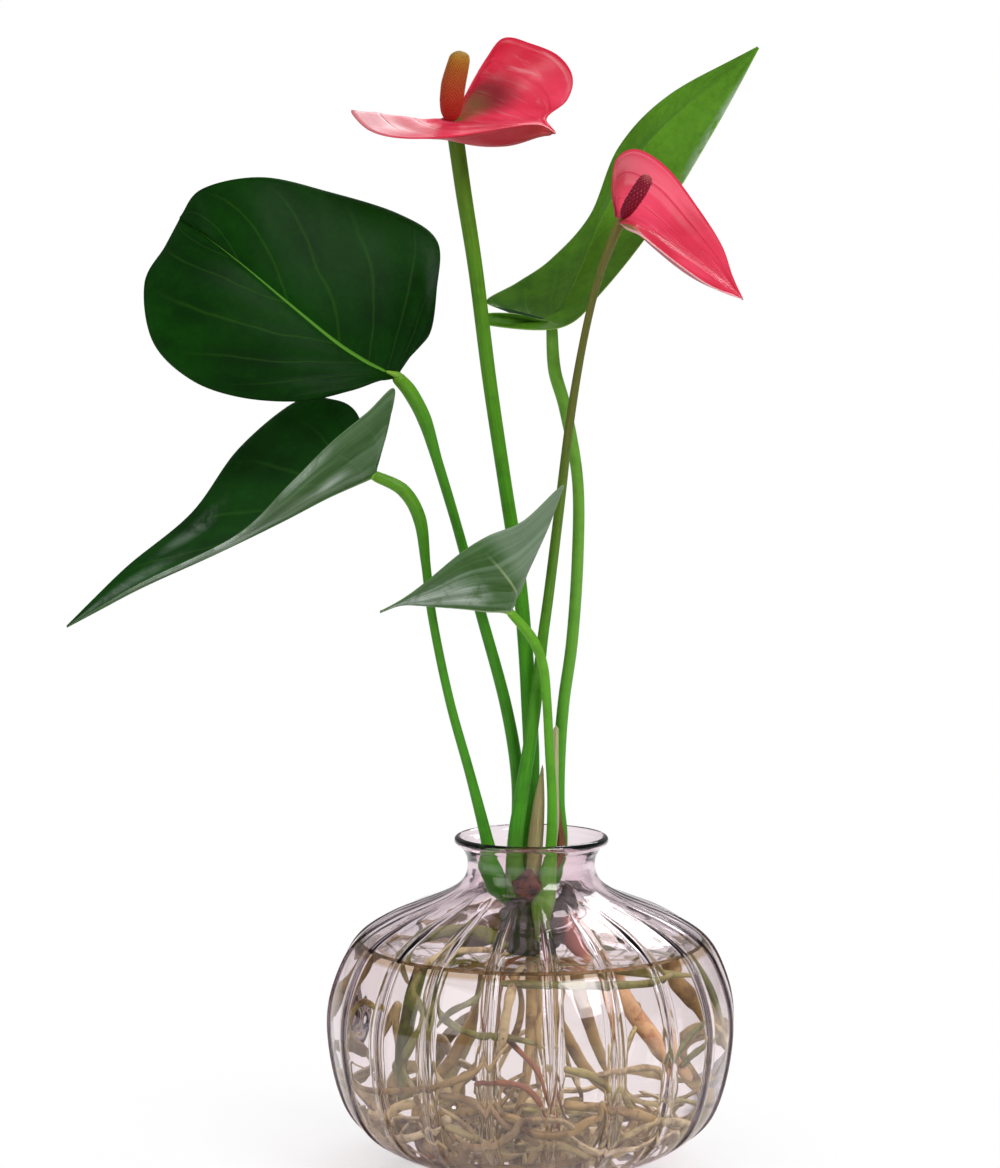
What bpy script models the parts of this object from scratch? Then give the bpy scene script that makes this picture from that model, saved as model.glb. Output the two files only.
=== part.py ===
"""An anthurium grown in water, standing in a round ribbed glass vase.

Metres, +Z up. The origin is the middle of the vase's flat foot, and the plant's front faces -Y.
Lists of points are in millimetres and are scaled by MM where they are used.
"""

import math

import bmesh
import bpy
from mathutils import Vector

MM = 0.001
GAP = 0.0003  # clearance between neighbouring pieces, metres

# Vase, millimetres: radius and height of the wall from the middle of the floor to the middle of the foot.
FLOOR_Z = 6.0
BELLY_Z = 52.0
INNER_WALL = [
    (38.0, 6.0), (50.0, 8.0), (58.5, 13.0), (65.0, 20.5), (69.2, 30.0), (71.4, 41.0), (72.2, 52.0),
    (71.2, 61.5), (68.0, 70.5), (63.7, 78.5), (57.3, 84.5), (47.5, 89.6), (36.5, 94.2), (27.8, 98.8),
    (22.5, 103.6), (20.7, 108.4), (20.5, 112.5), (22.3, 116.8), (24.9, 119.2),
]
LIP = [(25.9, 120.7), (27.2, 121.3), (28.4, 120.4), (28.2, 118.8)]
OUTER_WALL = [
    (26.2, 117.2), (24.9, 115.6), (23.8, 113.0), (23.7, 109.4), (24.7, 106.0), (27.4, 102.8),
    (32.8, 99.5), (41.0, 96.0), (50.5, 92.0), (60.5, 86.0), (66.6, 80.0), (70.8, 72.0), (74.0, 62.0),
    (75.0, 52.0), (73.9, 40.0), (71.2, 28.0), (67.0, 18.0), (60.0, 10.0), (50.0, 4.0), (39.0, 0.0),
]
RIB_COUNT = 20
RIB_HEIGHT = 1.0
RIB_HALF_WIDTH = math.radians(2.0)
RIB_PHASE = math.radians(-84.5)  # direction of one rib, from +X towards +Y
RIB_LOW, RIB_LOW_FULL = 4.0, 16.0  # heights over which a rib fades in
RIB_HIGH_FULL, RIB_HIGH = 86.0, 101.0  # heights over which it fades out
STEPS_PER_RIB = 3

WATER_LINE = (63.2, 79.0)  # radius of the wall and height, where the water stops

BLADE_ROWS = 14
SHEATH_ROWS = 6
HALF_COLUMNS = 4
SHEATH_HALF_COLUMNS = 2
LEAF_THICKNESS = 0.8
SPATHE_THICKNESS = 0.8
SHEATH_THICKNESS = 0.5

# The rhizome: points from its buried lower end to the bud on top, with its radius at each.
CROWN_PATH = [(1, 1, 69), (0, 1, 75), (-1, 0, 82), (-2, 0, 89), (-1, -1, 96), (0, -2, 102), (0.5, -3, 106)]
CROWN_RADII = [3.0, 5.0, 5.6, 5.4, 5.2, 4.2, 1.6]

# Blades: guide curves from base to tip, looked at from the upper side with the tip pointing away.
# "arch" lifts each row off the straight line between guides, as a share of its length: left, right.
BLADES = {
    "leaf_large": {
        "left": [
            (-50, -24, 291.5), (-55.5, -29, 290.5), (-65, -36, 287.5), (-82.5, -42, 284),
            (-104, -46, 285.5), (-121.5, -48, 292), (-134.5, -48, 305.5), (-137.5, -44, 326),
            (-131, -33, 339), (-126.5, -24, 348.5),
        ],
        "mid": [
            (-48.5, -22, 292), (-49.5, -22.5, 292.5), (-51, -23, 293), (-54, -25, 294.5),
            (-60.5, -28, 298),
            (-70.5, -32, 305), (-86.5, -36, 318.5), (-102.5, -37, 332), (-116.5, -33, 342.5),
            (-126.5, -23.5, 348.5),
        ],
        "right": [
            (-47, -18, 294.5), (-42.5, -14, 300.5), (-36.5, -9, 307.5), (-34.5, -5, 322.5),
            (-34.5, -4, 340),
            (-48.5, -8, 350), (-73, -16, 358), (-96.5, -26, 363.5), (-117.5, -30, 359.5),
            (-126.5, -24, 349),
        ],
        "arch": (0.07, 0.05),
    },
    "leaf_low": {
        "left": [
            (-55.5, -33, 261.5), (-52.5, -38, 273.5), (-49.5, -44, 289), (-58.5, -50, 280.5),
            (-71, -56, 270),
            (-85.5, -60, 256), (-104.5, -62, 238.5), (-136.5, -61, 222.5), (-164.5, -62, 206),
        ],
        "mid": [
            (-56.5, -30, 257), (-57.5, -30.5, 256.5), (-59.5, -32, 255.5), (-64.5, -35, 253.5),
            (-74, -40, 249.5),
            (-90, -46, 241.5), (-112.5, -53, 231), (-140.5, -59, 218.5), (-164.5, -61.5, 205.5),
        ],
        "right": [
            (-58, -22, 261), (-60, -14, 269), (-64.5, -6, 279), (-72.5, -1, 282.5), (-86, 0, 281.5),
            (-107, -6, 264.5), (-123, -24, 243), (-145, -48, 225.5), (-164.5, -61, 206),
        ],
        "arch": (-0.08, -0.10),
    },
    "leaf_tall": {
        "left": [
            (5.5, 16, 311.5), (-6, 26, 314.5), (-17, 36, 317.5), (-5, 44, 324), (8, 50, 332.5),
            (22.5, 56, 349), (33, 56, 375), (51.5, 46, 394.5), (83.5, 28.5, 411.5),
        ],
        "mid": [
            (7.5, 12, 308), (8, 12, 308.5), (8.5, 13, 310), (10, 15, 313), (13.5, 20, 320),
            (19, 28, 332), (28.5, 36, 353), (46, 38, 379), (83.5, 28, 411),
        ],
        "right": [
            (6, 11, 310.5), (-6, 9, 313.5), (-17.5, 8, 313.5), (-15.5, 6, 309.5), (11, 6, 308.5),
            (26.5, 12, 322), (48.5, 24, 350), (68, 28, 382), (84, 27.5, 411),
        ],
        "arch": (-0.10, -0.08),
    },
    "leaf_small": {
        "left": [
            (-4, -20, 216), (0.5, -26, 234), (11, -30, 253.5), (-3, -36, 241), (-16, -40, 235.5),
            (-26, -42, 229.5), (-38, -43, 220), (-47.5, -42, 213), (-54.5, -41.5, 209),
        ],
        "mid": [
            (-7.5, -16, 205.5), (-8.5, -17, 206), (-9.5, -18, 206), (-11.5, -20, 206.5),
            (-16.5, -23, 207),
            (-24, -28, 208.5), (-35.5, -34, 210), (-46.5, -39, 211), (-54.5, -41, 208.5),
        ],
        "right": [
            (-6.5, -13, 211), (-2.5, -12, 224.5), (4, -12, 241), (-2, -11, 237.5), (-11.5, -10, 234),
            (-25.5, -14, 226), (-37.5, -32, 218), (-46.5, -38, 212), (-54.5, -40, 209),
        ],
        "arch": (-0.12, -0.10),
    },
    "spathe_tall": {
        "left": [
            (-27, 4, 387), (-22.8, 8, 395.2), (-16.4, 17, 406.4), (-9.8, 27, 414.5), (-0.5, 32, 412.8),
            (10, 36, 408.4), (15.3, 33, 400.6), (13, 24, 392), (5.5, 14, 385.5), (8.5, 5, 380),
        ],
        "mid": [
            (-29, 0, 384), (-28.5, 0, 384), (-28, 0, 384), (-27, 0, 384), (-24.5, 0, 384),
            (-21.5, 0, 383.5), (-16, 1, 383.5), (-8, 3, 383.5), (1, 5, 383.5), (8.5, 4.5, 379.5),
        ],
        "right": [
            (-31, -2, 385), (-40.5, -4, 381.8), (-53.5, -8, 381.5), (-65, -14, 387.5), (-58.5, -26, 380.5),
            (-46.5, -36, 377.5), (-28.5, -40, 378), (-11.5, -34, 381), (1.5, -18, 382.5),
            (8.5, 4, 379.5),
        ],
        "arch": (-0.12, 0.06),
    },
    "spathe_low": {
        "left": [
            (30, -4, 349.5), (29, 2, 360), (31.5, 7, 370.5), (39, 10, 373.5), (50, 11, 366.5),
            (61.5, 9, 351.5), (69.5, 3, 338.5), (73, -6, 327.5), (76.5, -12, 319.5),
        ],
        "mid": [
            (32, -8, 347.5), (32.5, -8, 347.5), (33.5, -8, 347), (35.5, -9, 347), (41, -10, 344.5),
            (49, -11, 339), (60, -12, 331.5), (70.5, -13, 324), (76.5, -12.5, 319.5),
        ],
        "right": [
            (32, -12, 347), (32.5, -20, 346), (34, -28, 345), (38.5, -34, 343), (44.5, -37, 338.5),
            (53, -36, 332), (62.5, -30, 325.5), (70, -20, 322), (76.5, -13, 319.5),
        ],
        "arch": (-0.14, 0.06),
    },
    "sheath_cream": {
        "left": [(-2.2, -6.5, 100), (-1.5, -5.5, 118.5), (0.5, -5.5, 133.5), (3.5, -6, 147)],
        "mid": [(-0.3, -7, 100), (1.5, -7.5, 118.5), (2.5, -7.5, 133.5), (4, -7, 148.5)],
        "right": [(2.3, -6.3, 100), (4.2, -6, 118.5), (4.8, -6.2, 133.5), (4.4, -6.5, 147)],
        "arch": (0.0, 0.0),
    },
    "sheath_pale": {
        "left": [(4.9, -4.5, 98), (7, -4, 124), (7, -4, 144.5), (8, -4.4, 161.5)],
        "mid": [(5.6, -3.6, 98), (8.5, -5, 124), (8.5, -5, 144.5), (9, -4.7, 163)],
        "right": [(6, -2.6, 98), (10, -3.5, 123.5), (10, -3.5, 144), (10, -4.3, 161.5)],
        "arch": (0.0, 0.0),
    },
    "sheath_brown": {
        "left": [(5, -1.9, 98), (7.5, 0.5, 115.5), (8, 0.8, 127), (7.9, 0.6, 137)],
        "mid": [(5.3, -0.8, 98), (10, -1, 116), (9.8, -0.5, 127), (9, 0.1, 138)],
        "right": [(5.1, 0.4, 98), (12.5, 1, 115.5), (11.2, 1.2, 126.5), (10.1, 0.7, 137)],
        "arch": (0.0, 0.0),
    },
}

# Stalks: points from the crown upwards, and the radius at each point, millimetres.
STALKS = {
    "petiole_large": (
        [(-5.6, 5, 91), (-5, 11.4, 115), (-5, 10, 140.5), (-9.5, 6, 169), (-19, 0, 205), (-27.5, -6, 237),
         (-34.5, -11, 261), (-39, -15, 276), (-44, -19, 286), (-48, -21.7, 291)],
        [3.0, 2.9, 2.5, 2.2, 2.0, 1.8, 1.9, 2.6, 2.7, 2.4],
    ),
    "petiole_low": (
        [(-7.4, 0, 94), (-11.6, -4, 102), (-14.5, -9, 111), (-16.5, -9.8, 121.5), (-22.5, -12, 145.5),
         (-30, -16, 173.5), (-36, -20, 203.5), (-38.4, -22, 223.5), (-40.6, -24.5, 240.5),
         (-46.4, -28, 251.2), (-55.8, -29.6, 256.3)],
        [2.8, 2.6, 2.5, 2.3, 1.8, 1.65, 1.6, 1.7, 2.4, 2.4, 2.0],
    ),
    "petiole_tall": (
        [(4.8, 3, 92), (10.8, 6, 115), (10, 6, 133.5), (10.5, 5, 152.5), (12, 5, 171), (15, 6, 193),
         (17, 7, 223), (17, 9, 252), (12.5, 11, 278), (8.5, 12, 292.5), (7.5, 12, 307.3)],
        [2.6, 2.5, 2.4, 2.3, 2.2, 2.2, 2.2, 2.1, 2.3, 2.4, 2.1],
    ),
    "petiole_small": (
        [(3.2, -6, 91), (7, -9, 118), (7.5, -9, 136), (6.5, -9, 154.5), (5.5, -9, 173), (4, -10, 186),
         (0, -12, 196), (-7.2, -15.5, 205)],
        [2.2, 1.9, 1.8, 1.7, 1.7, 1.8, 1.9, 1.6],
    ),
    "peduncle_tall": (
        [(0, 5, 99), (-1.5, 3, 117), (0, 2, 145.5), (-1, 4, 171), (-2.5, 5, 193.5), (-5, 4, 219.5),
         (-10, 2, 252.5), (-15.5, 2, 289.5), (-20.5, 0, 329.5), (-25, 0, 358.5), (-28.4, 0, 382.4)],
        [3.0, 3.0, 3.0, 2.9, 2.7, 2.6, 2.5, 2.6, 2.7, 2.9, 3.0],
    ),
    "peduncle_low": (
        [(-5.4, -6.6, 96.5), (-6.2, -9, 118), (-4, -8, 135.5), (-0.5, -6, 157.5),
         (2, -3, 175.5), (4, 1, 193.5),
         (6.5, 2, 212), (10.5, 0, 245.5), (14, -2, 275), (18.5, -4, 302.5), (23.5, -6, 324.5),
         (29, -8, 340.5),
         (31.6, -8, 346.2)],
        [2.9, 2.8, 2.6, 2.4, 2.2, 2.0, 1.9, 1.8, 1.6, 1.4, 1.4, 1.7, 1.8],
    ),
    "spadix_tall": (
        [(-29.2, -1.5, 386.1), (-29.5, -2.5, 387.8), (-29.6, -4, 390.5), (-29.2, -5, 396),
         (-28, -6, 401.5),
         (-26.6, -7, 406.5), (-26, -7.4, 408.8)],
        [1.4, 3.0, 4.0, 4.6, 4.6, 4.0, 1.6],
    ),
    "spadix_low": (
        [(32.8, -9.6, 348.8), (33.8, -10.8, 350.6), (35.6, -12.4, 353.6), (38.6, -14.8, 358.4),
         (41, -16.6, 362.4), (42, -17.4, 364)],
        [1.0, 2.2, 2.8, 3.0, 2.6, 1.0],
    ),
}
STALK_SAMPLES = 17
SPADIX_SAMPLES = 10

# Roots: points from inside the crown to the root tip, and the radius at the crown and near the tip.
ROOTS = [
    ([(-1, 0, 85), (-12, -4, 86.5), (-22, -10, 84.5), (-32, -20, 78), (-38, -31, 69), (-41, -36, 57),
      (-43, -37, 44), (-43, -36, 33)], 3.1, 2.7),
    ([(1.5, -1.2, 85.2), (8, -4.8, 86.6), (14, -6.4, 86.5), (19, -10, 80), (23, -17, 71), (30, -28, 62),
      (39, -35, 53), (48, -37, 45), (54, -34, 38)], 3.3, 2.9),
    ([(0, 0, 74), (0, -8, 68), (0, -24, 62), (-1, -38, 50), (-3, -42, 36), (-8, -40, 22)], 2.2, 1.5),
    ([(1, -1, 79), (4, -10, 76), (2, -20, 71.5), (20, -27, 71), (40, -27, 71), (54, -20, 70)], 1.8, 1.3),
    ([(-2, 0, 81), (-16, -8, 74), (-32, -28, 66), (-30, -46, 62), (-20, -54, 58), (-6, -57, 57),
      (6, -57, 54)], 1.6, 1.2),
    ([(-1, 0, 77), (-8, -12, 66), (-12, -32, 60), (-8, -52, 56), (1, -61, 48), (7, -60, 37),
    (14, -53, 25)],
     1.3, 1.0),
    ([(0, 2, 84), (16, 6, 84), (34, 8, 75), (50, 4, 62), (60, -4, 50)], 2.3, 2.0),
    ([(-2, 2, 82), (-18, 16, 76), (-36, 30, 60), (-48, 34, 40), (-42, 36, 22), (-22, 44, 14)], 2.2, 1.6),
    ([(0, 2, 79), (14, 18, 72), (30, 32, 56), (44, 36, 38), (40, 38, 22), (18, 48, 14)], 2.2, 1.6),
    ([(0, 0, 78), (10, 0, 68), (18, -4, 46), (31, -24, 24), (12, -50, 14), (-18, -48, 12), (-40, -26, 12),
      (-46, 2, 12)], 1.8, 1.3),
    ([(0, 0, 77), (-10, 4, 67), (-17, 5, 47), (-32, -2, 25), (-22, -28, 10), (8, -32, 8.1),
    (36, -16, 8.1),
      (38, 14, 8.1), (12, 30, 8.1)], 1.8, 1.3),
    ([(0, 1, 75), (4, 9, 65), (8, 13, 46), (24, 14, 27), (46, 2, 20), (52, -24, 20)], 1.6, 1.2),
]
ROOT_SAMPLES = 14
ROOT_SIDES_RESOLUTION = 1

# Colour, roughness and transmission of each finish.
FINISHES = {
    "glass": ((0.86, 0.82, 0.85, 1.0), 0.03, 1.0),
    "water": ((0.93, 0.96, 0.93, 1.0), 0.0, 1.0),
    "leaf_green": ((0.03, 0.14, 0.03, 1.0), 0.3, 0.0),
    "fresh_green": ((0.12, 0.34, 0.05, 1.0), 0.35, 0.0),
    "stalk_green": ((0.13, 0.40, 0.05, 1.0), 0.4, 0.0),
    "stalk_olive": ((0.12, 0.16, 0.03, 1.0), 0.4, 0.0),
    "spathe_pink": ((0.83, 0.06, 0.12, 1.0), 0.3, 0.0),
    "spadix_orange": ((0.55, 0.10, 0.03, 1.0), 0.6, 0.0),
    "spadix_crimson": ((0.25, 0.01, 0.04, 1.0), 0.6, 0.0),
    "sheath_straw": ((0.55, 0.45, 0.20, 1.0), 0.7, 0.0),
    "sheath_brown": ((0.16, 0.05, 0.02, 1.0), 0.7, 0.0),
    "rhizome": ((0.05, 0.03, 0.02, 1.0), 0.8, 0.0),
    "root_tan": ((0.45, 0.36, 0.20, 1.0), 0.6, 0.0),
}


def clear_scene():
    for old in list(bpy.data.objects):
        bpy.data.objects.remove(old, do_unlink=True)


def new_collection(name):
    collection = bpy.data.collections.new(name)
    bpy.context.scene.collection.children.link(collection)
    return collection


def finish_material(name):
    """The Principled material of one finish, made once."""
    found = bpy.data.materials.get(name)
    if found:
        return found
    colour, roughness, transmission = FINISHES[name]
    material = bpy.data.materials.new(name)
    material.use_nodes = True
    shader = material.node_tree.nodes["Principled BSDF"]
    shader.inputs["Base Color"].default_value = colour
    shader.inputs["Roughness"].default_value = roughness
    shader.inputs["Metallic"].default_value = 0.0
    shader.inputs["Transmission Weight"].default_value = transmission
    material.diffuse_color = colour
    return material


def add_object(name, mesh, collection, finish):
    obj = bpy.data.objects.new(name, mesh)
    collection.objects.link(obj)
    mesh.materials.append(finish_material(finish))
    mesh.shade_smooth()
    mesh.set_sharp_from_angle(angle=math.radians(50))
    return obj


def add_cutter(name, mesh, collection):
    cutter = bpy.data.objects.new(name, mesh)
    collection.objects.link(cutter)
    cutter.hide_render = True
    cutter.display_type = "WIRE"
    return cutter


def cut_away(obj, cutter, name):
    boolean = obj.modifiers.new(name, "BOOLEAN")
    boolean.operation = "DIFFERENCE"
    boolean.object = cutter
    return boolean


def on_curve(points, place):
    """The point at place, 0 to 1, on a smooth curve through the points (Catmull-Rom)."""
    last = len(points) - 1
    along = min(max(place, 0.0), 1.0) * last
    index = min(int(along), last - 1)
    t = along - index
    p1, p2 = Vector(points[index]), Vector(points[index + 1])
    p0 = Vector(points[index - 1]) if index > 0 else 2 * p1 - p2
    p3 = Vector(points[index + 2]) if index + 2 <= last else 2 * p2 - p1
    bend = (2 * p0 - 5 * p1 + 4 * p2 - p3) * t**2
    twist = (3 * p1 - p0 - 3 * p2 + p3) * t**3
    return 0.5 * (2 * p1 + (p2 - p0) * t + bend + twist)


def value_at(values, place):
    """The value at place, 0 to 1, read straight between evenly spaced values."""
    along = place * (len(values) - 1)
    index = min(int(along), len(values) - 2)
    return values[index] + (values[index + 1] - values[index]) * (along - index)


def tube_mesh(name, points, radii, samples, resolution, extra=0.0):
    """A closed tube along a smooth curve through the points; extra (mm) widens and lengthens it."""
    curve = bpy.data.curves.new(name, "CURVE")
    curve.dimensions = "3D"
    curve.bevel_depth = MM
    curve.bevel_resolution = resolution
    curve.use_fill_caps = True
    spline = curve.splines.new("POLY")
    spline.points.add(samples - 1)
    places = [index / (samples - 1) for index in range(samples)]
    path = [on_curve(points, place) for place in places]
    path[0] += (path[0] - path[1]).normalized() * extra
    path[-1] += (path[-1] - path[-2]).normalized() * extra
    for target, point, place in zip(spline.points, path, places):
        target.co = (*(point * MM), 1.0)
        target.radius = value_at(radii, place) + extra
    holder = bpy.data.objects.new(name, curve)
    bpy.context.scene.collection.objects.link(holder)
    graph = bpy.context.evaluated_depsgraph_get()
    mesh = bpy.data.meshes.new_from_object(holder.evaluated_get(graph))
    bpy.data.objects.remove(holder, do_unlink=True)
    bpy.data.curves.remove(curve)
    work = bmesh.new()
    work.from_mesh(mesh)
    bmesh.ops.remove_doubles(work, verts=work.verts, dist=1e-6)
    work.to_mesh(mesh)
    work.free()
    mesh.name = name
    return mesh


def half_normal(edge, mid):
    """The mean normal of the surface between one edge guide and the midrib."""
    loop = [Vector(point) for point in mid] + [Vector(point) for point in reversed(edge)]
    area = Vector()
    for index, point in enumerate(loop):
        area += point.cross(loop[(index + 1) % len(loop)])
    return area.normalized()


def blade_mesh(name, guides, rows, half_columns):
    """An open surface through three guide curves, each half of a row arched from the midrib to its edge."""
    normals = {side: half_normal(guides[side], guides["mid"]) for side in ("left", "right")}
    normals["right"].negate()
    arches = dict(zip(("left", "right"), guides["arch"]))
    work = bmesh.new()
    bmesh.ops.create_grid(work, x_segments=2 * half_columns, y_segments=rows, size=1.0)
    for vertex in work.verts:
        across, along = vertex.co.x, (vertex.co.y + 1.0) / 2.0
        side = "left" if across < 0 else "right"
        share = abs(across)
        middle = on_curve(guides["mid"], along)
        chord = on_curve(guides[side], along) - middle
        lift = 4 * share * (1 - share) * arches[side] * chord.length * min(1.0, 3 * along)
        vertex.co = (middle + chord * share + normals[side] * lift) * MM
    mesh = bpy.data.meshes.new(name)
    work.to_mesh(mesh)
    work.free()
    return mesh


def add_blade(name, collection, finish, thickness, rows=BLADE_ROWS, half_columns=HALF_COLUMNS):
    blade = add_object(name, blade_mesh(name, BLADES[name], rows, half_columns), collection, finish)
    wall = blade.modifiers.new("blade thickness", "SOLIDIFY")
    wall.thickness = thickness * MM
    wall.offset = -1.0
    return blade


def rib_share(height):
    """How far the ribs stand out at this height, 0 to 1."""
    rise = (height - RIB_LOW) / (RIB_LOW_FULL - RIB_LOW)
    fall = (RIB_HIGH - height) / (RIB_HIGH - RIB_HIGH_FULL)
    return min(max(min(rise, fall), 0.0), 1.0)


def turned_mesh(name, profile, ribbed_from):
    """A profile of radius and height turned about +Z into one closed skin, three steps to each rib.

    Points of the profile from number ribbed_from on are drawn out where the turn passes a rib.
    """
    pitch = 2 * math.pi / RIB_COUNT
    turns = [0.0, RIB_HALF_WIDTH, pitch - RIB_HALF_WIDTH]
    work = bmesh.new()
    mark = work.verts.layers.int.new("profile point")
    verts = [work.verts.new((radius * MM, 0.0, height * MM)) for radius, height in profile]
    for number, vertex in enumerate(verts):
        vertex[mark] = number
    edges = [work.edges.new(pair) for pair in zip(verts, verts[1:])]
    bmesh.ops.spin(
        work, geom=verts + edges, cent=(0, 0, 0), axis=(0, 0, 1), angle=2 * math.pi,
        steps=RIB_COUNT * STEPS_PER_RIB, use_merge=True,
    )
    for vertex in work.verts:
        radius, height = profile[vertex[mark]]
        if radius == 0.0:
            continue
        step = round(math.atan2(vertex.co.y, vertex.co.x) * STEPS_PER_RIB / pitch)
        step %= RIB_COUNT * STEPS_PER_RIB
        turn = RIB_PHASE + (step // STEPS_PER_RIB) * pitch + turns[step % STEPS_PER_RIB]
        if vertex[mark] >= ribbed_from and step % STEPS_PER_RIB == 0:
            radius += RIB_HEIGHT * rib_share(height)
        vertex.co = (radius * math.cos(turn) * MM, radius * math.sin(turn) * MM, height * MM)
    bmesh.ops.remove_doubles(work, verts=work.verts, dist=1e-6)
    bmesh.ops.recalc_face_normals(work, faces=work.faces)
    mesh = bpy.data.meshes.new(name)
    work.to_mesh(mesh)
    work.free()
    return mesh


def build_vase(collection):
    """The glass: a turned wall whose outer skin is drawn out into ribs."""
    profile = [(0.0, FLOOR_Z)] + INNER_WALL + LIP + OUTER_WALL + [(0.0, 0.0)]
    first_outer = 1 + len(INNER_WALL) + len(LIP)
    return add_object("vase", turned_mesh("vase", profile, first_outer), collection, "glass")


def build_water(collection, cutters):
    """The water: the hollow of the vase up to the water line, less the crown and the roots."""
    gap = GAP / MM
    lower = [(radius - gap, height + gap) for radius, height in INNER_WALL if FLOOR_Z < height < BELLY_Z]
    upper = [(radius - gap, height) for radius, height in INNER_WALL if BELLY_Z <= height < WATER_LINE[1] - 2]
    floor = [(0.0, FLOOR_Z + gap), (INNER_WALL[0][0] - gap, FLOOR_Z + gap)]
    profile = floor + lower + upper + [(WATER_LINE[0] - gap, WATER_LINE[1]), (0.0, WATER_LINE[1])]
    mesh = turned_mesh("water", profile, len(profile))
    water = add_object("water", mesh, collection, "water")
    for cutter in cutters:
        cut_away(water, cutter, "room for " + cutter.name)
    return water


def build_crown(collection, cutter_collection):
    mesh = tube_mesh("crown", CROWN_PATH, CROWN_RADII, STALK_SAMPLES // 2 + 2, 3)
    crown = add_object("crown", mesh, collection, "rhizome")
    room = tube_mesh("crown_room", CROWN_PATH, CROWN_RADII, STALK_SAMPLES // 2 + 2, 3, GAP / MM)
    return crown, add_cutter("crown_room", room, cutter_collection)


def build_roots(collection, cutter_collection, crown_room):
    """Each root starts inside the crown and is cut back to its skin. Returns the rooms the water leaves."""
    rooms = []
    for number, (points, thick, thin) in enumerate(ROOTS, start=1):
        name = f"root_{number:02d}"
        radii = [thick, thick, (thick + thin) / 2, thin, thin, thin * 0.45]
        mesh = tube_mesh(name, points, radii, ROOT_SAMPLES, ROOT_SIDES_RESOLUTION)
        root = add_object(name, mesh, collection, "root_tan")
        cut_away(root, crown_room, "seat on the crown")
        room = tube_mesh(name + "_room", points, radii, ROOT_SAMPLES, ROOT_SIDES_RESOLUTION, GAP / MM)
        rooms.append(add_cutter(name + "_room", room, cutter_collection))
    return rooms


def build_stalks(collection, crown_room):
    finishes = {
        "petiole_large": "stalk_green", "petiole_low": "stalk_green", "petiole_tall": "stalk_green",
        "petiole_small": "fresh_green", "peduncle_tall": "stalk_olive", "peduncle_low": "stalk_olive",
        "spadix_tall": "spadix_orange", "spadix_low": "spadix_crimson",
    }
    for name, (points, radii) in STALKS.items():
        samples = SPADIX_SAMPLES if name.startswith("spadix") else STALK_SAMPLES
        stalk = add_object(name, tube_mesh(name, points, radii, samples, 2), collection, finishes[name])
        if not name.startswith("spadix"):
            cut_away(stalk, crown_room, "seat on the crown")


def build_blades(collection):
    for name in ("leaf_large", "leaf_low"):
        add_blade(name, collection, "leaf_green", LEAF_THICKNESS)
    for name in ("leaf_tall", "leaf_small"):
        add_blade(name, collection, "fresh_green", LEAF_THICKNESS)
    for name in ("spathe_tall", "spathe_low"):
        add_blade(name, collection, "spathe_pink", SPATHE_THICKNESS)
    sheaths = {"sheath_cream": "sheath_straw", "sheath_pale": "sheath_straw", "sheath_brown": "sheath_brown"}
    for name, finish in sheaths.items():
        add_blade(name, collection, finish, SHEATH_THICKNESS, SHEATH_ROWS, SHEATH_HALF_COLUMNS)


def main():
    clear_scene()
    parts = new_collection("anthurium_in_vase")
    cutters = new_collection("cutters")
    build_vase(parts)
    crown, crown_room = build_crown(parts, cutters)
    root_rooms = build_roots(parts, cutters, crown_room)
    build_water(parts, [crown_room] + root_rooms)
    build_stalks(parts, crown_room)
    build_blades(parts)


main()
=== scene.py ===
# %% [markdown]
# # An anthurium grown in water, in a ribbed glass vase
#
# The object is a young anthurium that stands in a round glass vase: four leaves, two flowers and
# their stalks above, a dark crown in the vase's neck, and a tangle of roots in the water. The
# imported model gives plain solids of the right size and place. This lesson puts a finely shaped
# and finished piece over each of them. Lengths in the lists are millimetres, as a maker would
# note them, and MM turns them into Blender's metres.

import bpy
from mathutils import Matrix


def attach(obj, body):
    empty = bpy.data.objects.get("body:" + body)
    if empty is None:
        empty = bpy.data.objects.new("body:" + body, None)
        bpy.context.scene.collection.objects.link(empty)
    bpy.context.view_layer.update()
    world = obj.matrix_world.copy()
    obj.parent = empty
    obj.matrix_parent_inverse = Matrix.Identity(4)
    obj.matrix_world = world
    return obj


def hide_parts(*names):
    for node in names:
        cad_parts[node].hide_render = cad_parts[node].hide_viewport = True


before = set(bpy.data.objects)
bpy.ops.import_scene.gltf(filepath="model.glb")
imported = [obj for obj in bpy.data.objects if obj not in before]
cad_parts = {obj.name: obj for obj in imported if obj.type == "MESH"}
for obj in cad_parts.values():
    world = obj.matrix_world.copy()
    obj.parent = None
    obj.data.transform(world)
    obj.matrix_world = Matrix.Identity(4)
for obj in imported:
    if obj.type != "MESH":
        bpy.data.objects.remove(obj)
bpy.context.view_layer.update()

# %%
import math
import random

import bmesh
import bpy
from mathutils import Vector

MM = 0.001


def new_object(name, data):
    """An object with this data, put in the scene."""
    made = bpy.data.objects.new(name, data)
    bpy.context.scene.collection.objects.link(made)
    return made


# %% [markdown]
# ## Camera
#
# The camera looks a little down on the plant from in front, with a long lens, so that the vase's
# mouth shows as a thin ellipse and upright lines stay upright.

# %% Camera
CAMERA_PLACE = (-0.0116, -1.5, 0.363)
LOOKS_DOWN = math.radians(5.65)
LENS = 126.43  # millimetres, before a sensor 36 mm wide

lens = bpy.data.cameras.new("view")
lens.lens = LENS
lens.sensor_width = 36.0
lens.clip_start = 0.05
camera = new_object("view", lens)
camera.location = CAMERA_PLACE
camera.rotation_euler = (math.radians(90.0) - LOOKS_DOWN, 0.0, 0.0)
bpy.context.scene.camera = camera
print("camera at", tuple(camera.location))

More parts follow.
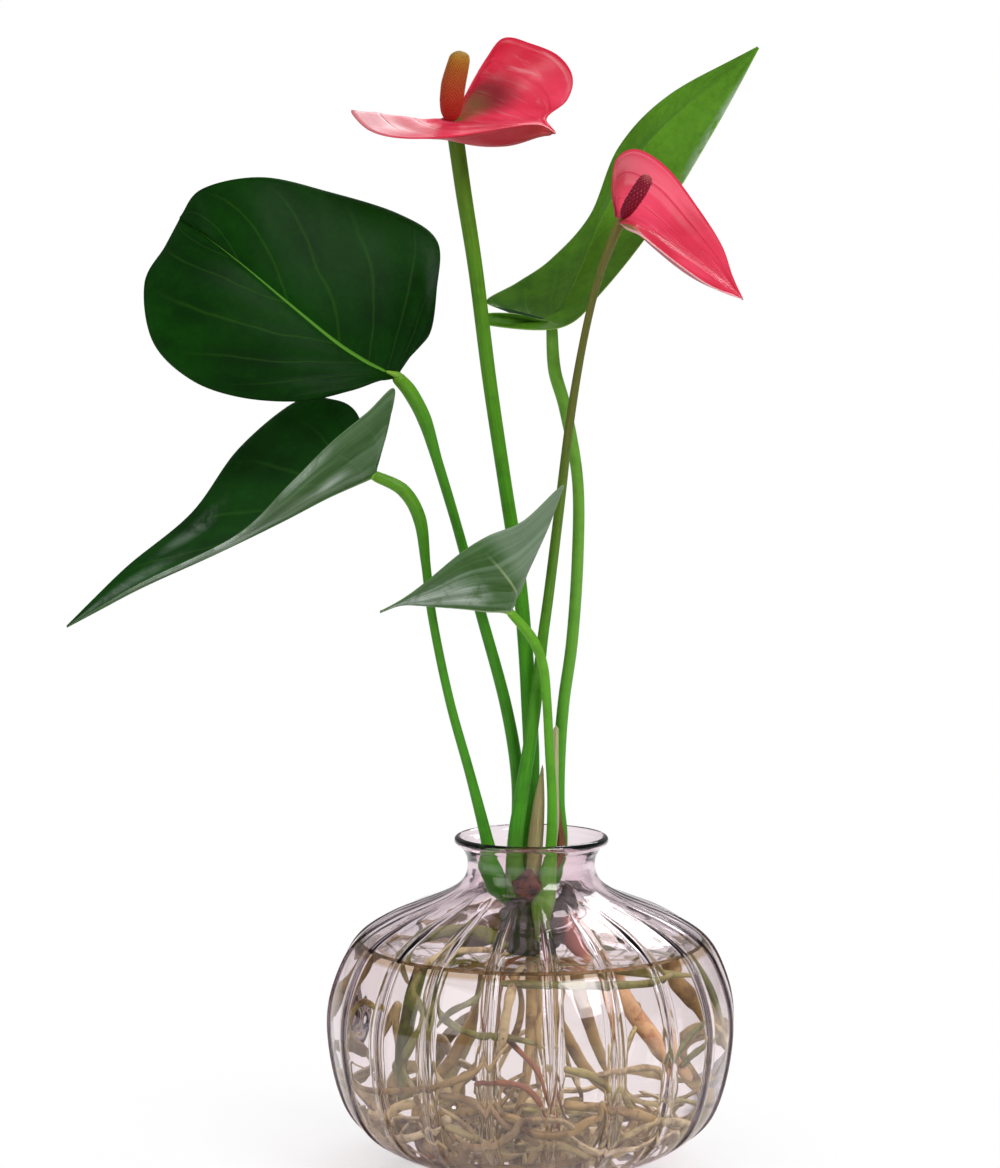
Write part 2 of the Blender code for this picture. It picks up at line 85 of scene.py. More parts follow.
# %% [markdown]
# ## Curves and skins
#
# Almost everything on a plant is either a blade or a stalk. Both can be woven from one flat grid:
# each of its points has a place across and a place along, and moving the points bends the grid
# into shape. The grid's own UV map comes along, so a vein or a stripe can later be painted across
# and along the piece instead of through space. on_curve draws a smooth curve through a few
# points, and grid_skin does the weaving.

# %% Smooth curves
def on_curve(points, place):
    """The point at place, 0 to 1, on a smooth curve through the points (Catmull-Rom)."""
    last = len(points) - 1
    along = min(max(place, 0.0), 1.0) * last
    index = min(int(along), last - 1)
    t = along - index
    p1, p2 = Vector(points[index]), Vector(points[index + 1])
    p0 = Vector(points[index - 1]) if index > 0 else 2 * p1 - p2
    p3 = Vector(points[index + 2]) if index + 2 <= last else 2 * p2 - p1
    bend = (2 * p0 - 5 * p1 + 4 * p2 - p3) * t**2
    twist = (3 * p1 - p0 - 3 * p2 + p3) * t**3
    return 0.5 * (2 * p1 + (p2 - p0) * t + bend + twist)


def value_at(values, place):
    """The value at place, 0 to 1, read straight between evenly spaced values."""
    along = min(max(place, 0.0), 1.0) * (len(values) - 1)
    index = min(int(along), len(values) - 2)
    return values[index] + (values[index + 1] - values[index]) * (along - index)


# %% Weave a grid into a skin
def grid_skin(work, rows, columns, place):
    """Adds a grid to work and moves its points, given as across and along from 0 to 1, by place."""
    made = bmesh.ops.create_grid(work, x_segments=columns, y_segments=rows, size=1.0, calc_uvs=True)
    for vertex in made["verts"]:
        vertex.co = place((vertex.co.x + 1.0) / 2.0, (vertex.co.y + 1.0) / 2.0) * MM
    return made["verts"]


def new_work():
    """An empty bmesh with a UV map, and that map."""
    work = bmesh.new()
    return work, work.loops.layers.uv.new("UVMap")


def faces_of(verts):
    return {face for vertex in verts for face in vertex.link_faces}


MERGED = 1e-6  # points nearer than this, in metres, become one


def finish_piece(name, work, materials, replaced=(), smooth=60.0, turn_out=False):
    """Makes the bmesh an object that rides on the plant, with its materials and replaced nodes.

    turn_out closes the seams of a woven tube or a spun skin and turns its faces outwards.
    """
    if turn_out:
        bmesh.ops.remove_doubles(work, verts=work.verts, dist=MERGED)
        bmesh.ops.recalc_face_normals(work, faces=work.faces)
    mesh = bpy.data.meshes.new(name)
    work.to_mesh(mesh)
    work.free()
    for material in materials:
        mesh.materials.append(material)
    mesh.shade_smooth()
    mesh.set_sharp_from_angle(angle=math.radians(smooth))
    piece = new_object(name, mesh)
    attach(piece, "root")
    if replaced:
        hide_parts(*replaced)
    print(name, len(mesh.polygons), "faces")
    return piece


# %% Weave a tube round a curve
def frames_along(points, rows):
    """The centre, side and upward direction of each row of a tube that doesn't twist."""
    centres = [on_curve(points, row / (rows - 1)) for row in range(rows)]
    side = None
    rings = []
    for row, centre in enumerate(centres):
        ahead = (centres[min(row + 1, rows - 1)] - centres[max(row - 1, 0)]).normalized()
        if side is None:
            side = ahead.orthogonal().normalized()
        side = (side - ahead * side.dot(ahead)).normalized()
        rings.append((centre, side, ahead.cross(side)))
    return rings


def tube(work, points, radii, rows, sides, shape, round_end, round_start=0.0):
    """A closed tube with rounded ends. shape(turn, along) multiplies its radius."""
    rings = frames_along(points, rows)

    def place(across, along):
        row = min(round(along * (rows - 1)), rows - 1)
        centre, side, up = rings[row]
        radius = value_at(radii, along)
        if along > 1 - round_end:
            radius *= math.sqrt(max(0.0, 1 - ((along - 1 + round_end) / round_end) ** 2))
        if along < round_start:
            radius *= math.sqrt(max(0.0, 1 - ((round_start - along) / round_start) ** 2))
        elif row == 0:
            radius = 0.0
        turn = 2 * math.pi * across
        radius *= shape(turn, along)
        return centre + (side * math.cos(turn) + up * math.sin(turn)) * radius

    return grid_skin(work, rows - 1, sides, place)

# %% [markdown]
# ## Recipes for materials
#
# A plant's colour is never flat: it shifts from the base of a leaf to its tip, along its veins and
# in soft blotches. These helpers keep the node trees short. node adds one node and wires it. Value
# holds a node's output, so that sums and products can be written as sums and products. The others
# wrap the few nodes that are used again and again.

# %% Node helpers
class Value:
    """A node's output. A sum, product or power of values adds the Math node that works it out."""

    def __init__(self, socket):
        self.socket = socket
        self.tree = socket.id_data

    def math(self, operation, *others):
        return output_of(self.tree, "Math", dict(enumerate((self, *others))), operation=operation)

    def __add__(self, other):
        return self.math("ADD", other)

    def __sub__(self, other):
        return self.math("SUBTRACT", other)

    def __mul__(self, other):
        return self.math("MULTIPLY", other)

    def __truediv__(self, other):
        return self.math("DIVIDE", other)

    def __pow__(self, other):
        return self.math("POWER", other)

    def __abs__(self):
        return self.math("ABSOLUTE")

    def into(self, shader, name):
        """Links the value to this input of the shader."""
        self.tree.links.new(self.socket, shader.inputs[name])


def node(tree, kind, inputs=None, **settings):
    """Adds a node. inputs maps a socket's name or number to a number, a colour or an output."""
    made = tree.nodes.new("ShaderNode" + kind)
    for key, setting in settings.items():
        setattr(made, key, setting)
    for key, given in (inputs or {}).items():
        given = getattr(given, "socket", given)
        if isinstance(given, bpy.types.NodeSocket):
            tree.links.new(given, made.inputs[key])
        elif isinstance(given, tuple):
            made.inputs[key].default_value = (*given, 1.0)
        else:
            made.inputs[key].default_value = given
    return made


def output_of(tree, kind, inputs=None, output=0, **settings):
    return Value(node(tree, kind, inputs, **settings).outputs[output])


def fade(value, start, end, low=0.0, high=1.0):
    """low where value is start, high where it is end, and smooth between."""
    inputs = {"Value": value, "From Min": start, "From Max": end, "To Min": low, "To Max": high}
    return output_of(value.tree, "MapRange", inputs, interpolation_type="SMOOTHSTEP")


def blend(share, first, second):
    """The first colour, with this share of the second."""
    return output_of(share.tree, "Mix", {0: share, 6: first, 7: second}, 2, data_type="RGBA")


def ramp(value, stops):
    """The colour at value between (position, colour) stops."""
    made = node(value.tree, "ValToRGB", {0: value})
    elements = made.color_ramp.elements
    while len(elements) < len(stops):
        elements.new(0.5)
    for element, (stop, colour) in zip(elements, stops):
        element.position = stop
        element.color = (*colour, 1.0)
    return Value(made.outputs[0])


def noise(coordinates, scale, detail=2.0, roughness=0.5, distortion=0.0):
    inputs = {
        "Vector": coordinates, "Scale": scale, "Detail": detail, "Roughness": roughness,
        "Distortion": distortion,
    }
    return output_of(coordinates.tree, "TexNoise", inputs, "Fac")


def new_material(name, roughness, **sockets):
    """A Principled material, its shader and its object coordinates."""
    material = bpy.data.materials.new(name)
    material.use_nodes = True
    shader = material.node_tree.nodes["Principled BSDF"]
    shader.inputs["Roughness"].default_value = roughness
    for key, setting in sockets.items():
        shader.inputs[key.replace("_", " ")].default_value = setting
    return material, shader, output_of(material.node_tree, "TexCoord", output="Object")


def parts(vector):
    """The X, Y and Z of a vector value."""
    return [Value(output) for output in node(vector.tree, "SeparateXYZ", {0: vector}).outputs]


def own_map(place):
    """The piece's own map: across, -1 to 1, its distance from the middle, and along, 0 to 1."""
    u, along, _ = parts(output_of(place.tree, "UVMap", uv_map="UVMap"))
    across = u * 2.0 - 1.0
    return across, abs(across), along


def stretched(across, along, by_across, by_along):
    """Coordinates on the piece's own map, stretched so that noise on them runs in streaks."""
    return output_of(along.tree, "CombineXYZ", {0: across * by_across, 1: along * by_along})


def distance_from(across, along, at_across, at_along, lengthways):
    """Distance on the map from one spot; lengthways is how much more the way along it counts."""
    aside = (across - at_across) ** 2.0
    ahead = (along - at_along) ** 2.0
    return (ahead * lengthways + aside).math("SQRT")


def bumped(shader, height, strength, distance):
    inputs = {"Height": height, "Strength": strength, "Distance": distance}
    output_of(height.tree, "Bump", inputs).into(shader, "Normal")


# %% [markdown]
# ## Leaf finishes
#
# An anthurium's leaf is leathery and glossy above and paler and duller below. A yellowish midrib
# runs to the tip, side veins leave it in curves, and the blade puffs up a little between them.
# One recipe draws both faces of every leaf from its own map: the colours change from leaf to
# leaf, and so does how much the veins stand out. Patches and streaks of painted highlight, and a
# painted highlight along a fold, stand in for the sheen of the wax.

# %% Leaf recipe
SIDE_VEINS = 8  # to each half
VEIN_SWEEP, VEIN_BACK = 0.30, 0.07  # how far a side vein runs towards the tip, and how it eases off
PAINTED_SHEEN = (0.55, 0.62, 0.56)  # the greyish colour of a painted sheen, a painted highlight on the leaves


def leaf_face(name, deep, light, vein, edge, vein_share, rib_share, roughness, gloss,
              tip_light=0.0, rib_width=0.03, highlight_streaks=None, sheen_patches=(), crest=None):
    """A leathery face. Its patches, each (across, along, reach, share), are painted sheen highlights.

    Its streaks, (share, how many to a half, colour), are painted highlight streaks. crest is the
    (reach, power) of the fold of a lobe, which carries a painted highlight line, with painted light
    on the lobe behind the fold.
    """
    material, shader, place = new_material(name, roughness, IOR=1.45, Specular_IOR_Level=gloss)
    across, out, along = own_map(place)
    swept = along - out * VEIN_SWEEP + out**2.0 * VEIN_BACK
    wander = (noise(place, 40.0) * 0.04 + swept) * SIDE_VEINS
    from_vein = abs(wander.math("FRACT") - 0.5)
    side_vein = fade(from_vein, 0.0, 0.06, 1.0, 0.0)
    net = noise(place, 420.0, 3.0, 0.6)
    cloud = fade(noise(place, 22.0, 4.0, 0.65), 0.3, 0.7)
    wrinkled = noise(place, 95.0, 4.0, 0.7, 0.4)
    colour = blend(cloud * 0.5 + fade(along, 0.15, 0.85) * tip_light, deep, light)
    colour = blend(fade(wrinkled, 0.5, 0.75, 0.0, 0.35), colour, light)
    colour = blend(fade(from_vein, 0.1, 0.45, 0.0, 0.2), colour, light)
    colour = blend(fade(net, 0.35, 0.7) * 0.2, colour, deep)
    colour = blend(side_vein * fade(out, 0.95, 0.6) * vein_share, colour, vein)
    width = fade(along, 0.1, 1.0, 1.0, 0.35)
    rib = fade(out / width, rib_width * 0.5, rib_width * 1.3, 1.0, 0.0)
    colour = blend(rib * fade(along, 0.5, 1.0, rib_share, rib_share * 0.55), colour, vein)
    colour = blend(fade(out, 0.985, 0.998, 0.0, 0.6), colour, edge)
    # a noisy mask that breaks up the painted sheen
    sheen_breakup = fade(wrinkled, 0.25, 0.6)
    # streaks of painted highlight over the rolled veins
    if highlight_streaks:
        share, count, tone = highlight_streaks
        lines = fade(noise(stretched(across, along, count, 1.1), 1.0, 3.0, 0.55, 0.3), 0.42, 0.68)
        colour = blend(lines * share, colour, tone)
        sheen_breakup = sheen_breakup * (lines * 0.8 + 0.4)
    # patches of painted sheen, a painted highlight
    for at_across, at_along, reach, share in sheen_patches:
        away = distance_from(across, along, at_across, at_along, 3.0)
        colour = blend(fade(away, 0.0, reach, share, 0.0) * sheen_breakup, colour, PAINTED_SHEEN)
    # a painted highlight line along the fold, and painted light on the lobe behind it
    if crest:
        reach, power = crest
        past = along - out**power * reach
        line = fade(abs(past), 0.002, 0.009, 0.7, 0.0)
        colour = blend(fade(past, -0.10, 0.0, 0.16, 0.0), colour, PAINTED_SHEEN)
        colour = blend(line * fade(across, -0.9, -0.5), colour, vein)
    colour.into(shader, "Base Color")
    (noise(place, 60.0, 3.0, 0.6) * 0.16 + (roughness - 0.06)).into(shader, "Roughness")
    bumped(shader, side_vein * -0.35 + net * 0.25 + wrinkled * 0.6, 0.3, 0.0005)
    return material


# The patches and streaks listed below are painted sheen and painted highlight streaks.
LEAVES = {
    "large_upper": leaf_face("leaf dark upper", (0.001, 0.010, 0.001), (0.005, 0.052, 0.002),
                             (0.10, 0.29, 0.025), (0.02, 0.09, 0.01), 0.07, 0.85, 0.40,
                             gloss=0.06, tip_light=0.35, rib_width=0.020,
                             sheen_patches=[(0.9, 0.40, 0.20, 0.05)]),
    "large_under": leaf_face("leaf dark underside", (0.03, 0.09, 0.02), (0.06, 0.15, 0.035),
                             (0.12, 0.25, 0.05), (0.14, 0.27, 0.05), 0.4, 0.9, 0.5, gloss=0.25),
    "low_upper": leaf_face("low leaf upper", (0.004, 0.028, 0.003), (0.010, 0.085, 0.006),
                           (0.045, 0.15, 0.02), (0.06, 0.12, 0.05), 0.22, 0.8, 0.42, gloss=0.07,
                           sheen_patches=[(0.45, 0.93, 0.30, 0.26), (0.75, 0.76, 0.16, 0.16)]),
    "low_under": leaf_face("low leaf underside", (0.024, 0.070, 0.014), (0.05, 0.12, 0.03),
                           (0.10, 0.20, 0.07), (0.20, 0.30, 0.14), 0.15, 0.9, 0.42, gloss=0.18,
                           highlight_streaks=(0.40, 5.0, (0.18, 0.28, 0.16)),
                           sheen_patches=[(-0.60, 0.84, 0.28, 1.0), (-0.95, 0.80, 0.28, 1.0),
                                  (-0.95, 0.58, 0.20, 0.5), (-0.35, 0.50, 0.16, 0.5)]),
    "tall_upper": leaf_face("tall leaf upper", (0.014, 0.065, 0.004), (0.11, 0.30, 0.018),
                            (0.16, 0.40, 0.04), (0.30, 0.48, 0.12), 0.12, 0.6, 0.42,
                            gloss=0.10, tip_light=0.65, sheen_patches=[(1.0, 0.88, 0.22, 0.6)]),
    "tall_under": leaf_face("tall leaf underside", (0.015, 0.055, 0.012), (0.045, 0.12, 0.035),
                            (0.16, 0.30, 0.10), (0.20, 0.38, 0.10), 0.4, 0.9, 0.42, gloss=0.20),
    "small_upper": leaf_face("small leaf upper", (0.012, 0.075, 0.008), (0.04, 0.16, 0.02),
                             (0.10, 0.26, 0.05), (0.16, 0.34, 0.07), 0.35, 0.8, 0.36, gloss=0.22),
    "small_under": leaf_face("small leaf underside", (0.022, 0.070, 0.012), (0.060, 0.14, 0.03),
                             (0.30, 0.38, 0.20), (0.18, 0.24, 0.14), 0.06, 0.9, 0.42, gloss=0.18,
                             highlight_streaks=(0.45, 9.0, (0.20, 0.30, 0.18)), crest=(0.55, 0.35),
                             sheen_patches=[(-0.40, 0.86, 0.60, 1.0), (-0.25, 0.60, 0.26, 0.9),
                                    (-0.95, 0.06, 0.20, 0.7)]),
}
print(len(LEAVES), "leaf finishes")

# %% [markdown]
# ## Spathe finishes
#
# The coloured "petal" of an anthurium is a spathe, a single waxy bract round the flower spike.
# Its veins leave the base in a few long arcs that meet again at the tip, and the wax between
# them swells, so the surface looks quilted and catches the light in soft patches.

# %% Spathe recipe
ARCS = 3.2  # the veins that one half carries


def spathe_face(name, deep, light, pale, roughness, pale_side, pale_along, shade_spots=(), rim=None):
    """The spots, each (across, along, reach, share, colour), are painted shade and the spadix's painted
    shadow; rim is the colour of the right margin.
    """
    material, shader, place = new_material(
        name, roughness, IOR=1.45, Specular_IOR_Level=0.28, Subsurface_Weight=0.1,
        Subsurface_Radius=(0.003, 0.0012, 0.001), Subsurface_Scale=0.5,
    )
    across, out, along = own_map(place)
    arcs = (noise(place, 30.0) * 0.25 + out * ARCS).math("FRACT")
    vein = fade(abs(arcs - 0.5), 0.0, 0.06, 1.0, 0.0)
    cloud = fade(noise(place, 35.0, 3.0, 0.55, 0.4), 0.3, 0.72)
    lines = fade(noise(stretched(across, along, 5.0, 1.3), 2.6, 4.0, 0.6, 0.5), 0.5, 0.75, 0.0, 0.55)
    colour = blend(cloud, deep, light)
    # pale streaks along the spathe: partly its own tone, partly painted highlight
    colour = blend(lines, colour, pale)
    # a pale patch over one side, towards the base: a painted reflection
    colour = blend(fade(across, *pale_side) * fade(along, *pale_along), colour, pale)
    colour = blend(vein * 0.28, colour, deep)
    # spots of painted shade, and the spadix's painted shadow
    for at_across, at_along, reach, share, tone in shade_spots:
        away = distance_from(across, along, at_across, at_along, 2.5)
        colour = blend(fade(away, reach * 0.25, reach, share, 0.0), colour, tone)
    colour = blend(fade(out, 0.95, 0.995, 0.0, 0.45), colour, deep)
    if rim:
        colour = blend(fade(across, 0.90, 0.96, 0.0, 0.85), colour, rim)
    colour.into(shader, "Base Color")
    bumped(shader, vein * -0.6 + noise(place, 160.0, 2.0, 0.5) * 0.5, 0.45, 0.0006)
    return material


# the olive-brown painted shadow that the spadix casts on the spathe
SPADIX_SHADOW = (0.16, 0.10, 0.03)
SPATHES = {
    # The spots in these lists are painted shade near the base and in the curled lobes, and the spadix's
    # painted shadow.
    "tall_upper": spathe_face("tall spathe upper", (0.60, 0.013, 0.042), (0.82, 0.052, 0.115),
                              (0.70, 0.32, 0.35), 0.38, (0.25, 0.80), (0.60, 0.40),
                              [(-0.42, 0.44, 0.36, 0.95, (0.20, 0.008, 0.014)),
                               (-0.18, 0.38, 0.36, 0.75, SPADIX_SHADOW)]),
    # the underside is a darker copy of the upper side's reds: painted shade
    "tall_under": spathe_face("tall spathe underside", (0.34, 0.008, 0.02), (0.50, 0.022, 0.045),
                              (0.66, 0.14, 0.17), 0.42, (0.2, 1.0), (0.7, 0.4)),
    "low_upper": spathe_face("low spathe upper", (0.60, 0.014, 0.050), (0.80, 0.050, 0.115),
                             (0.84, 0.10, 0.16), 0.36, (-0.9, -1.4), (0.5, 0.2),
                             [(-0.80, 0.16, 0.60, 0.75, (0.36, 0.04, 0.05)),
                              (0.85, 0.28, 0.40, 0.9, (0.18, 0.16, 0.04))], (0.78, 0.46, 0.46)),
    # the underside is a darker copy of the upper side's reds: painted shade
    "low_under": spathe_face("low spathe underside", (0.32, 0.010, 0.04), (0.46, 0.025, 0.07),
                             (0.56, 0.14, 0.18), 0.42, (-0.4, -1.2), (1.0, 0.0)),
}
print(len(SPATHES), "spathe finishes")

# %% [markdown]
# ## Blades
#
# A blade hangs on three guide curves: its left edge, its midrib and its right edge, looked at
# from above with the tip pointing away. The first few stations fan out round the stalk, which
# makes the two lobes of the heart. Each row of the grid is stretched between the guides and
# arched, the midrib is sunk a little, and the blade puffs up between its side veins. A Solidify
# modifier then gives it its thickness, with the underside in a second material.

# %% Guide curves of the blades
BLADES = {
    "leaf_large": {
        "left": [
            (-50, -24, 291.5), (-55.5, -29, 290.5), (-65, -36, 287.5), (-82.5, -42, 284),
            (-104, -46, 285.5), (-121.5, -48, 292), (-134.5, -48, 305.5), (-137.5, -44, 326),
            (-131, -33, 339), (-126.5, -24, 348.5),
        ],
        "mid": [
            (-48.5, -22, 292), (-49.5, -22.5, 292.5), (-51, -23, 293), (-54, -25, 294.5),
            (-60.5, -28, 298), (-70.5, -32, 305), (-86.5, -36, 318.5), (-102.5, -37, 332),
            (-116.5, -33, 342.5), (-126.5, -23.5, 348.5),
        ],
        "right": [
            (-47, -18, 294.5), (-42.5, -14, 300.5), (-36.5, -9, 307.5), (-34.5, -5, 322.5),
            (-34.5, -4, 340), (-48.5, -8, 350), (-73, -16, 358), (-96.5, -26, 363.5),
            (-117.5, -30, 359.5), (-126.5, -24, 349),
        ],
        "arch": (0.07, 0.05),
    },
    "leaf_low": {
        "left": [
            (-55.5, -33, 261.5), (-52.5, -38, 273.5), (-49.5, -44, 289), (-58.5, -50, 280.5),
            (-71, -56, 270), (-85.5, -60, 256), (-104.5, -62, 238.5), (-136.5, -61, 222.5),
            (-164.5, -62, 206),
        ],
        "mid": [
            (-56.5, -30, 257), (-57.5, -30.5, 256.5), (-59.5, -32, 255.5), (-64.5, -35, 253.5),
            (-74, -40, 249.5), (-90, -46, 241.5), (-112.5, -53, 231), (-140.5, -59, 218.5),
            (-164.5, -61.5, 205.5),
        ],
        "right": [
            (-58, -22, 261), (-60, -14, 269), (-64.5, -6, 279), (-72.5, -1, 282.5), (-86, 0, 281.5),
            (-107, -6, 264.5), (-123, -24, 243), (-145, -48, 225.5), (-164.5, -61, 206),
        ],
        "arch": (-0.08, -0.10),
    },
    "leaf_tall": {
        "left": [
            (5.5, 16, 311.5), (-6, 26, 314.5), (-17, 36, 317.5), (-5, 44, 324), (8, 50, 332.5),
            (22.5, 56, 349), (33, 56, 375), (51.5, 46, 394.5), (83.5, 28.5, 411.5),
        ],
        "mid": [
            (7.5, 12, 308), (8, 12, 308.5), (8.5, 13, 310), (10, 15, 313), (13.5, 20, 320),
            (19, 28, 332), (28.5, 36, 353), (46, 38, 379), (83.5, 28, 411),
        ],
        "right": [
            (6, 11, 310.5), (-6, 9, 313.5), (-17.5, 8, 313.5), (-15.5, 6, 309.5), (11, 6, 308.5),
            (26.5, 12, 322), (48.5, 24, 350), (68, 28, 382), (84, 27.5, 411),
        ],
        "arch": (-0.10, -0.08),
    },
    "leaf_small": {
        "left": [
            (-4, -20, 216), (0.5, -26, 234), (11, -30, 253.5), (-3, -36, 241), (-16, -40, 235.5),
            (-26, -42, 229.5), (-38, -43, 220), (-47.5, -42, 213), (-54.5, -41.5, 209),
        ],
        "mid": [
            (-7.5, -16, 205.5), (-8.5, -17, 206), (-9.5, -18, 206), (-11.5, -20, 206.5),
            (-16.5, -23, 207), (-24, -28, 208.5), (-35.5, -34, 210), (-46.5, -39, 211),
            (-54.5, -41, 208.5),
        ],
        "right": [
            (-6.5, -13, 211), (-2.5, -12, 224.5), (4, -12, 241), (-2, -11, 237.5), (-11.5, -10, 234),
            (-25.5, -14, 226), (-37.5, -32, 218), (-46.5, -38, 212), (-54.5, -40, 209),
        ],
        "arch": (-0.05, -0.10),
    },
    "spathe_tall": {
        "left": [
            (-27, 4, 387), (-22.8, 8, 395.2), (-16.4, 17, 406.4), (-9.8, 27, 414.5), (-0.5, 32, 412.8),
            (10, 36, 408.4), (15.3, 33, 400.6), (13, 24, 392), (5.5, 14, 385.5), (8.5, 5, 380),
        ],
        "mid": [
            (-29, 0, 384), (-28.5, 0, 384), (-28, 0, 384), (-27, 0, 384), (-24.5, 0, 384),
            (-21.5, 0, 383.5), (-16, 1, 383.5), (-8, 3, 383.5), (1, 5, 383.5), (8.5, 4.5, 379.5),
        ],
        "right": [
            (-31, -2, 385), (-40.5, -4, 381.8), (-53.5, -8, 381.5), (-65, -14, 387.5),
            (-58.5, -26, 380.5), (-46.5, -36, 377.5), (-28.5, -40, 378), (-11.5, -34, 381),
            (1.5, -18, 382.5), (8.5, 4, 379.5),
        ],
        "arch": (-0.12, -0.02),
    },
    "spathe_low": {
        "left": [
            (30, -4, 349.5), (29, 2, 360), (31.5, 7, 370.5), (39, 10, 373.5), (50, 11, 366.5),
            (61.5, 9, 351.5), (69.5, 3, 338.5), (73, -6, 327.5), (76.5, -12, 319.5),
        ],
        "mid": [
            (32, -8, 347.5), (32.5, -8, 347.5), (33.5, -8, 347), (35.5, -9, 347), (41, -10, 344.5),
            (49, -11, 339), (60, -12, 331.5), (70.5, -13, 324), (76.5, -12.5, 319.5),
        ],
        "right": [
            (32, -12, 347), (32.5, -20, 346), (34, -28, 345), (38.5, -34, 343), (44.5, -37, 338.5),
            (53, -36, 332), (62.5, -30, 325.5), (70, -20, 322), (76.5, -13, 319.5),
        ],
        "arch": (-0.14, 0.06),
    },
    "sheath_cream": {
        "left": [(-2.2, -6.5, 100), (-1.5, -5.5, 118.5), (0.5, -5.5, 133.5), (3.5, -6, 147)],
        "mid": [(-0.3, -7, 100), (1.5, -7.5, 118.5), (2.5, -7.5, 133.5), (4, -7, 148.5)],
        "right": [(2.3, -6.3, 100), (4.2, -6, 118.5), (4.8, -6.2, 133.5), (4.4, -6.5, 147)],
        "arch": (0.0, 0.0),
    },
    "sheath_pale": {
        "left": [(4.9, -4.5, 98), (7, -4, 124), (7, -4, 144.5), (8, -4.4, 161.5)],
        "mid": [(5.6, -3.6, 98), (8.5, -5, 124), (8.5, -5, 144.5), (9, -4.7, 163)],
        "right": [(6, -2.6, 98), (10, -3.5, 123.5), (10, -3.5, 144), (10, -4.3, 161.5)],
        "arch": (0.0, 0.0),
    },
    "sheath_brown": {
        "left": [(5, -1.9, 98), (7.5, 0.5, 115.5), (8, 0.8, 127), (7.9, 0.6, 137)],
        "mid": [(5.3, -0.8, 98), (10, -1, 116), (9.8, -0.5, 127), (9, 0.1, 138)],
        "right": [(5.1, 0.4, 98), (12.5, 1, 115.5), (11.2, 1.2, 126.5), (10.1, 0.7, 137)],
        "arch": (0.0, 0.0),
    },
}
print(len(BLADES), "blades")

# %% Shape of a blade
SHORT = 8.0  # where a half is narrower than this, in millimetres, it lifts off its arch less


def half_normal(edge, mid):
    """The mean normal of the surface between one edge guide and the midrib."""
    loop = [Vector(point) for point in mid] + [Vector(point) for point in reversed(edge)]
    area = Vector()
    for index, point in enumerate(loop):
        area += point.cross(loop[(index + 1) % len(loop)])
    return area.normalized()


def blade(name, materials, grid, thickness, relief, tighten=1.3):
    """A blade through its guides; relief(across, along) lifts it off the plain arch, in millimetres."""
    guides = BLADES[name]
    normals = {side: half_normal(guides[side], guides["mid"]) for side in ("left", "right")}
    normals["right"].negate()
    arches = dict(zip(("left", "right"), guides["arch"]))

    def place(u, along):
        across = 2.0 * u - 1.0
        side = "left" if across < 0 else "right"
        share = abs(across) ** tighten
        middle = on_curve(guides["mid"], along)
        chord = on_curve(guides[side], along) - middle
        lift = 4 * share * (1 - share) * arches[side] * chord.length * min(1.0, 3 * along)
        spread = min(1.0, chord.length / SHORT)
        lift += relief(math.copysign(share, across), along) * spread
        return middle + chord * share + normals[side] * lift

    work, layer = new_work()
    grid_skin(work, *grid, place)
    for face in work.faces:
        for loop in face.loops:
            across = 2.0 * loop[layer].uv.x - 1.0
            loop[layer].uv.x = (math.copysign(abs(across) ** tighten, across) + 1.0) / 2.0
    piece = finish_piece(name + "_piece", work, materials, [name])
    wall = piece.modifiers.new("blade thickness", "SOLIDIFY")
    wall.thickness = thickness * MM
    wall.offset = -1.0
    wall.material_offset = 1


def leaf_relief(puff, rib, ripple, crease=None):
    """The puffs between the side veins, the sunk midrib and a slow ripple of the edge.

    A crease (reach, power, height, half) is a fold that stands up along a curve over the left half.
    """
    def lift(across, along):
        out = abs(across)
        phase = (along - VEIN_SWEEP * out + VEIN_BACK * out**2) * SIDE_VEINS
        between = abs(math.sin(math.pi * (phase + 0.5)))
        quilt = puff * (between - 0.6) * min(1.0, 4 * out) * min(1.0, 5 * (1 - out))
        groove = -rib * math.exp(-((across / 0.035) ** 2))
        wave = ripple * out**3 * math.sin(9.0 * along + 3.0 * across)
        folded = 0.0
        if crease and across < 0:
            reach, power, height, half = crease
            off = abs(reach * out**power - along) / half
            folded = -height * max(0.0, 1.0 - off) * min(1.0, 3 * out) * (1.0 - out**6)
        return quilt + groove + wave + folded
    return lift


# %% [markdown]
# ## The four leaves
#
# The big leaf faces the front and curls over at its edge; the low leaf is folded along its midrib,
# so that its pale underside shows in front and its dark upper side behind; the tall leaf stands
# up and shows its upper side; and the small one is still half folded.

# %% Leaves
FINE = 2
LEAF_GRID = (44 * FINE, 26 * FINE)  # rows along it and columns across
LEAF_WALL, SPATHE_WALL = 0.35, 0.5


def two_faced(kind, which, faces, wall, relief):
    """A leaf or a spathe, with its upper side and its underside."""
    materials = [faces[which + "_upper"], faces[which + "_under"]]
    blade(kind + "_" + which, materials, LEAF_GRID, wall, relief)


for which, slot, relief in (
    ("large", "leaf_green", leaf_relief(0.25, 0.5, 0.8)),
    ("low", "leaf_green", leaf_relief(0.45, 0.5, 0.5)),
    ("tall", "fresh_green", leaf_relief(0.4, 0.4, 0.5)),
    ("small", "fresh_green", leaf_relief(0.3, 0.4, 0.4, crease=(0.55, 0.35, 3.0, 0.12))),
):
    two_faced("leaf", which, LEAVES, LEAF_WALL, relief)

# %% [markdown]
# ## The spathes
#
# Both spathes are built as leaves are, but their swellings run along them, between the arcs of
# the veins, and are broken up into soft dimples.

# %% Spathes
def hump(distance):
    """1 at no distance, falling smoothly to 0 at a distance of 1 either way."""
    return max(0.0, 1.0 - distance * distance) ** 2


